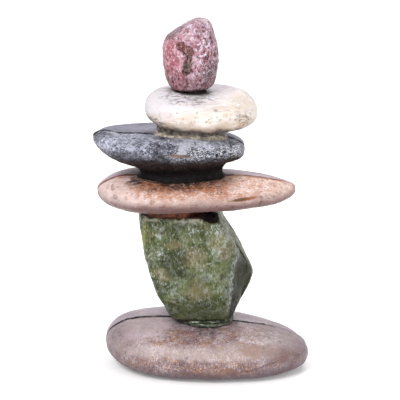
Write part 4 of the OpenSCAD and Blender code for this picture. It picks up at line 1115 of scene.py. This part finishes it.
# The necks sit in the gaps between the stones: their dark tones and dark feet are painted shade of those
# gaps, while the upper neck's cream foot is its own colour.
NECK_PAINTS = {
    "lower_neck": (("#3a1f16", "#5c3022", "#7d4a38"), "#a58474", "#160d0b", 160, "#2a1610"),
    "middle_neck": (("#0e0c0d", "#151213", "#251d1b"), "#3a3234", "#070606", 190, "#0e0c0d"),
    "upper_neck": (("#3b3534", "#6e645d", "#a79c90"), "#d8cfc2", "#1d1918", 242, "#cfc4b1"),
    "top_neck": (("#1d1716", "#2b2322", "#4d413d"), "#8a7d78", "#100c0c", 284, "#100c0c"),
}


def dress(piece, body, node, material):
    """Stands piece in for a CAD node."""
    piece.data.materials.clear()
    piece.data.materials.append(material)
    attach(piece, body)
    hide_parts(node)


def make_stones():
    """All twelve halves; gives back each whole stone's tree for the necks to reach."""
    trees = {}
    for name, s in STONES.items():
        s_name = name.replace("_stone", "")
        made, trees[name] = halves(name, s)
        for side, half in made.items():
            slot = s_name + ("_face" if side == "front" else "_rear")
            paint = STONE_PAINTS[name](slot + "_paint", side == "front")
            dress(half, "base" if name == "base_stone" else "stack", name + "_" + side, paint)
    return trees


def make_necks(trees):
    for name, (low, high, shape) in NECKS.items():
        piece = neck(name + "_cast", trees[low], trees[high], **shape)
        dress(piece, "stack", name, neck_paint(name + "_paint", *NECK_PAINTS[name]))


def make_rings():
    """The collar in the base stone and the ring under the pillar, a little uneven outside."""
    low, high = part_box("foot_ring")
    at = middle("foot_ring", "x", "y")
    rim = (high.x - low.x) / 2 / MM
    green = ring_paint("ring_cast_paint")
    uneven = lambda r, z: 1.0 if r > 24.4 else 0.0
    collar = lathe("drain_collar_cast", at, [
        (21.5, 36), (24, 36), (24, 47.6), (25, 47.4), (rim + 0.6, 47.3), (rim + 1.0, 48.2), (rim + 0.5, 49.2),
        (rim - 0.2, 49.75), (25, 49.8), (21.5, 49.8),
    ], lumps=0.5, seed=81, lumpy=uneven)
    ring = lathe("foot_ring_cast", at, [
        (11, 40), (18.5, 40), (18.5, 50), (25, 50.1), (rim, 50.2), (rim + 0.4, 51.0), (rim - 0.2, 52.0),
        (rim - 2.2, 52.6), (rim - 4.2, 51.6), (13, 51.2), (13, 61), (11, 61),
    ], lumps=0.5, seed=82, lumpy=uneven)
    dress(collar, "base", "drain_collar", green)
    dress(ring, "stack", "foot_ring", green)


# Moulded nodes by material: colour, roughness, fleck, grain and specular, then the CAD nodes that wear it.
MOULDED = {
    "tub_plastic_paint": (("#3a3d40", 0.42, 0.2, 0.06), ("sump_tub", "drain_bush", "foot_nut")),
    "pump_plastic_paint": (("#2b2e31", 0.38, 0.2, 0.06), ("pump_housing", "pump_cover", "intake_strainer")),
    "fitting_plastic_paint": (("#1b1b1d", 0.35, 0.2, 0.05), ("dc_inlet",)),
    "nozzle_rubber_paint": (("#120d0b", 0.85, 0.2, 0.1, 0.08), ("outlet_nozzle",)),
    "light_plastic_paint": (("#d9d9d4", 0.35, 0.1, 0.04), ("impeller",)),
    "grey_plastic_paint": (("#5c6065", 0.42, 0.2, 0.06), ("drain_plug", "flow_regulator")),
    "pad_rubber_paint": (("#242428", 0.75, 0.25, 0.18, 0.3), ("base_pad",)),
    "soft_rubber_paint": (("#19191b", 0.6, 0.2, 0.1, 0.35),
                          ("inlet_seal", "pump_seal", "shaft_bushes", "suction_cups", "riser_socket")),
    "lead_jacket_paint": (("#222226", 0.5, 0.15, 0.06), ("pump_lead",)),
    "shaft_ceramic_paint": (("#e8e6e0", 0.2, 0.06, 0.02, 0.6), ("rotor_shaft",)),
}


def wear(material, nodes):
    for node in nodes:
        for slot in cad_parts[node].material_slots:
            slot.material = material


def paint_fittings():
    """Materials of the CAD nodes that keep their own shape."""
    for name, (look, nodes) in MOULDED.items():
        wear(moulded(name, *look), nodes)
    wear(metal("steel_paint", "#b9bcc0", "#7f8387"),
         ("tub_screws", "inlet_nut", "tie_rod", "rod_nuts", "rod_washers"))
    wear(metal("brass_paint", "#b5954a", "#6f5524", 0.32), ("threaded_inserts",))
    wear(metal("magnet_paint", "#4a4744", "#2b2928", 0.45, (1, 1, 1)), ("rotor_magnet",))
    wear(laminated("lamination_paint"), ("stator_core",))
    wear(wound("winding_paint"), ("stator_coil",))
    wear(tube_clear("clear_tube_paint"), ("riser_tube",))


# ---------- floor, light and camera ----------

FLOOR_REACH = 4000
WORLD_LIGHT = 0.72
# name, place in metres, size in metres, watts
LAMPS = (
    ("key", (-0.8, -1.2, 1.4), 0.9, 20),
    ("fill", (1.3, -1.3, 0.8), 1.2, 6),
    ("rim", (0.5, 1.2, 1.4), 0.8, 12),
)
LAMP_AIM = Vector((0, 0, 0.17))
CAMERA_AIM = Vector((0, 0, 0.172))
CAMERA_DISTANCE = 2.4
CAMERA_RISE = math.radians(16)


def put_in_scene(name, data, place, aim):
    """A lamp or camera at place that looks at aim."""
    thing = bpy.data.objects.new(name, data)
    bpy.context.scene.collection.objects.link(thing)
    thing.location = place
    thing.rotation_euler = (aim - Vector(place)).to_track_quat("-Z", "Y").to_euler()
    return thing


def make_stage():
    """Floor, white surroundings and three lamps."""
    reach = FLOOR_REACH
    floor = add_object("studio_floor", [(-reach, -reach, 0), (reach, -reach, 0), (reach, reach, 0),
                                        (-reach, reach, 0)], [(0, 1, 2, 3)])
    t = Paint("studio_floor_paint")
    t.colour = t.over("#fdfdfd", "#fafafa", t.rise(t.noise(300, 3, 1), 0.3, 0.7))
    floor.data.materials.append(t.finish(0.9, specular=0.1, glow=0.16))
    world = bpy.data.worlds.new("studio")
    world.use_nodes = True
    back = world.node_tree.nodes["Background"]
    back.inputs["Color"].default_value = (1, 1, 1, 1)
    back.inputs["Strength"].default_value = WORLD_LIGHT
    bpy.context.scene.world = world
    for name, place, size, power in LAMPS:
        data = bpy.data.lights.new(name, "AREA")
        data.shape = "DISK"
        data.size = size
        data.energy = power
        put_in_scene(name, data, place, LAMP_AIM)


def make_camera():
    data = bpy.data.cameras.new("camera")
    data.sensor_width = 36
    data.lens = 216
    data.dof.use_dof = False
    toward = Vector((0, -math.cos(CAMERA_RISE), math.sin(CAMERA_RISE)))
    bpy.context.scene.camera = put_in_scene("camera", data, CAMERA_AIM + toward * CAMERA_DISTANCE, CAMERA_AIM)


make_camera()
make_stage()
stone_trees = make_stones()
make_necks(stone_trees)
make_rings()
paint_fittings()
bpy.context.scene.view_settings.view_transform = "Standard"
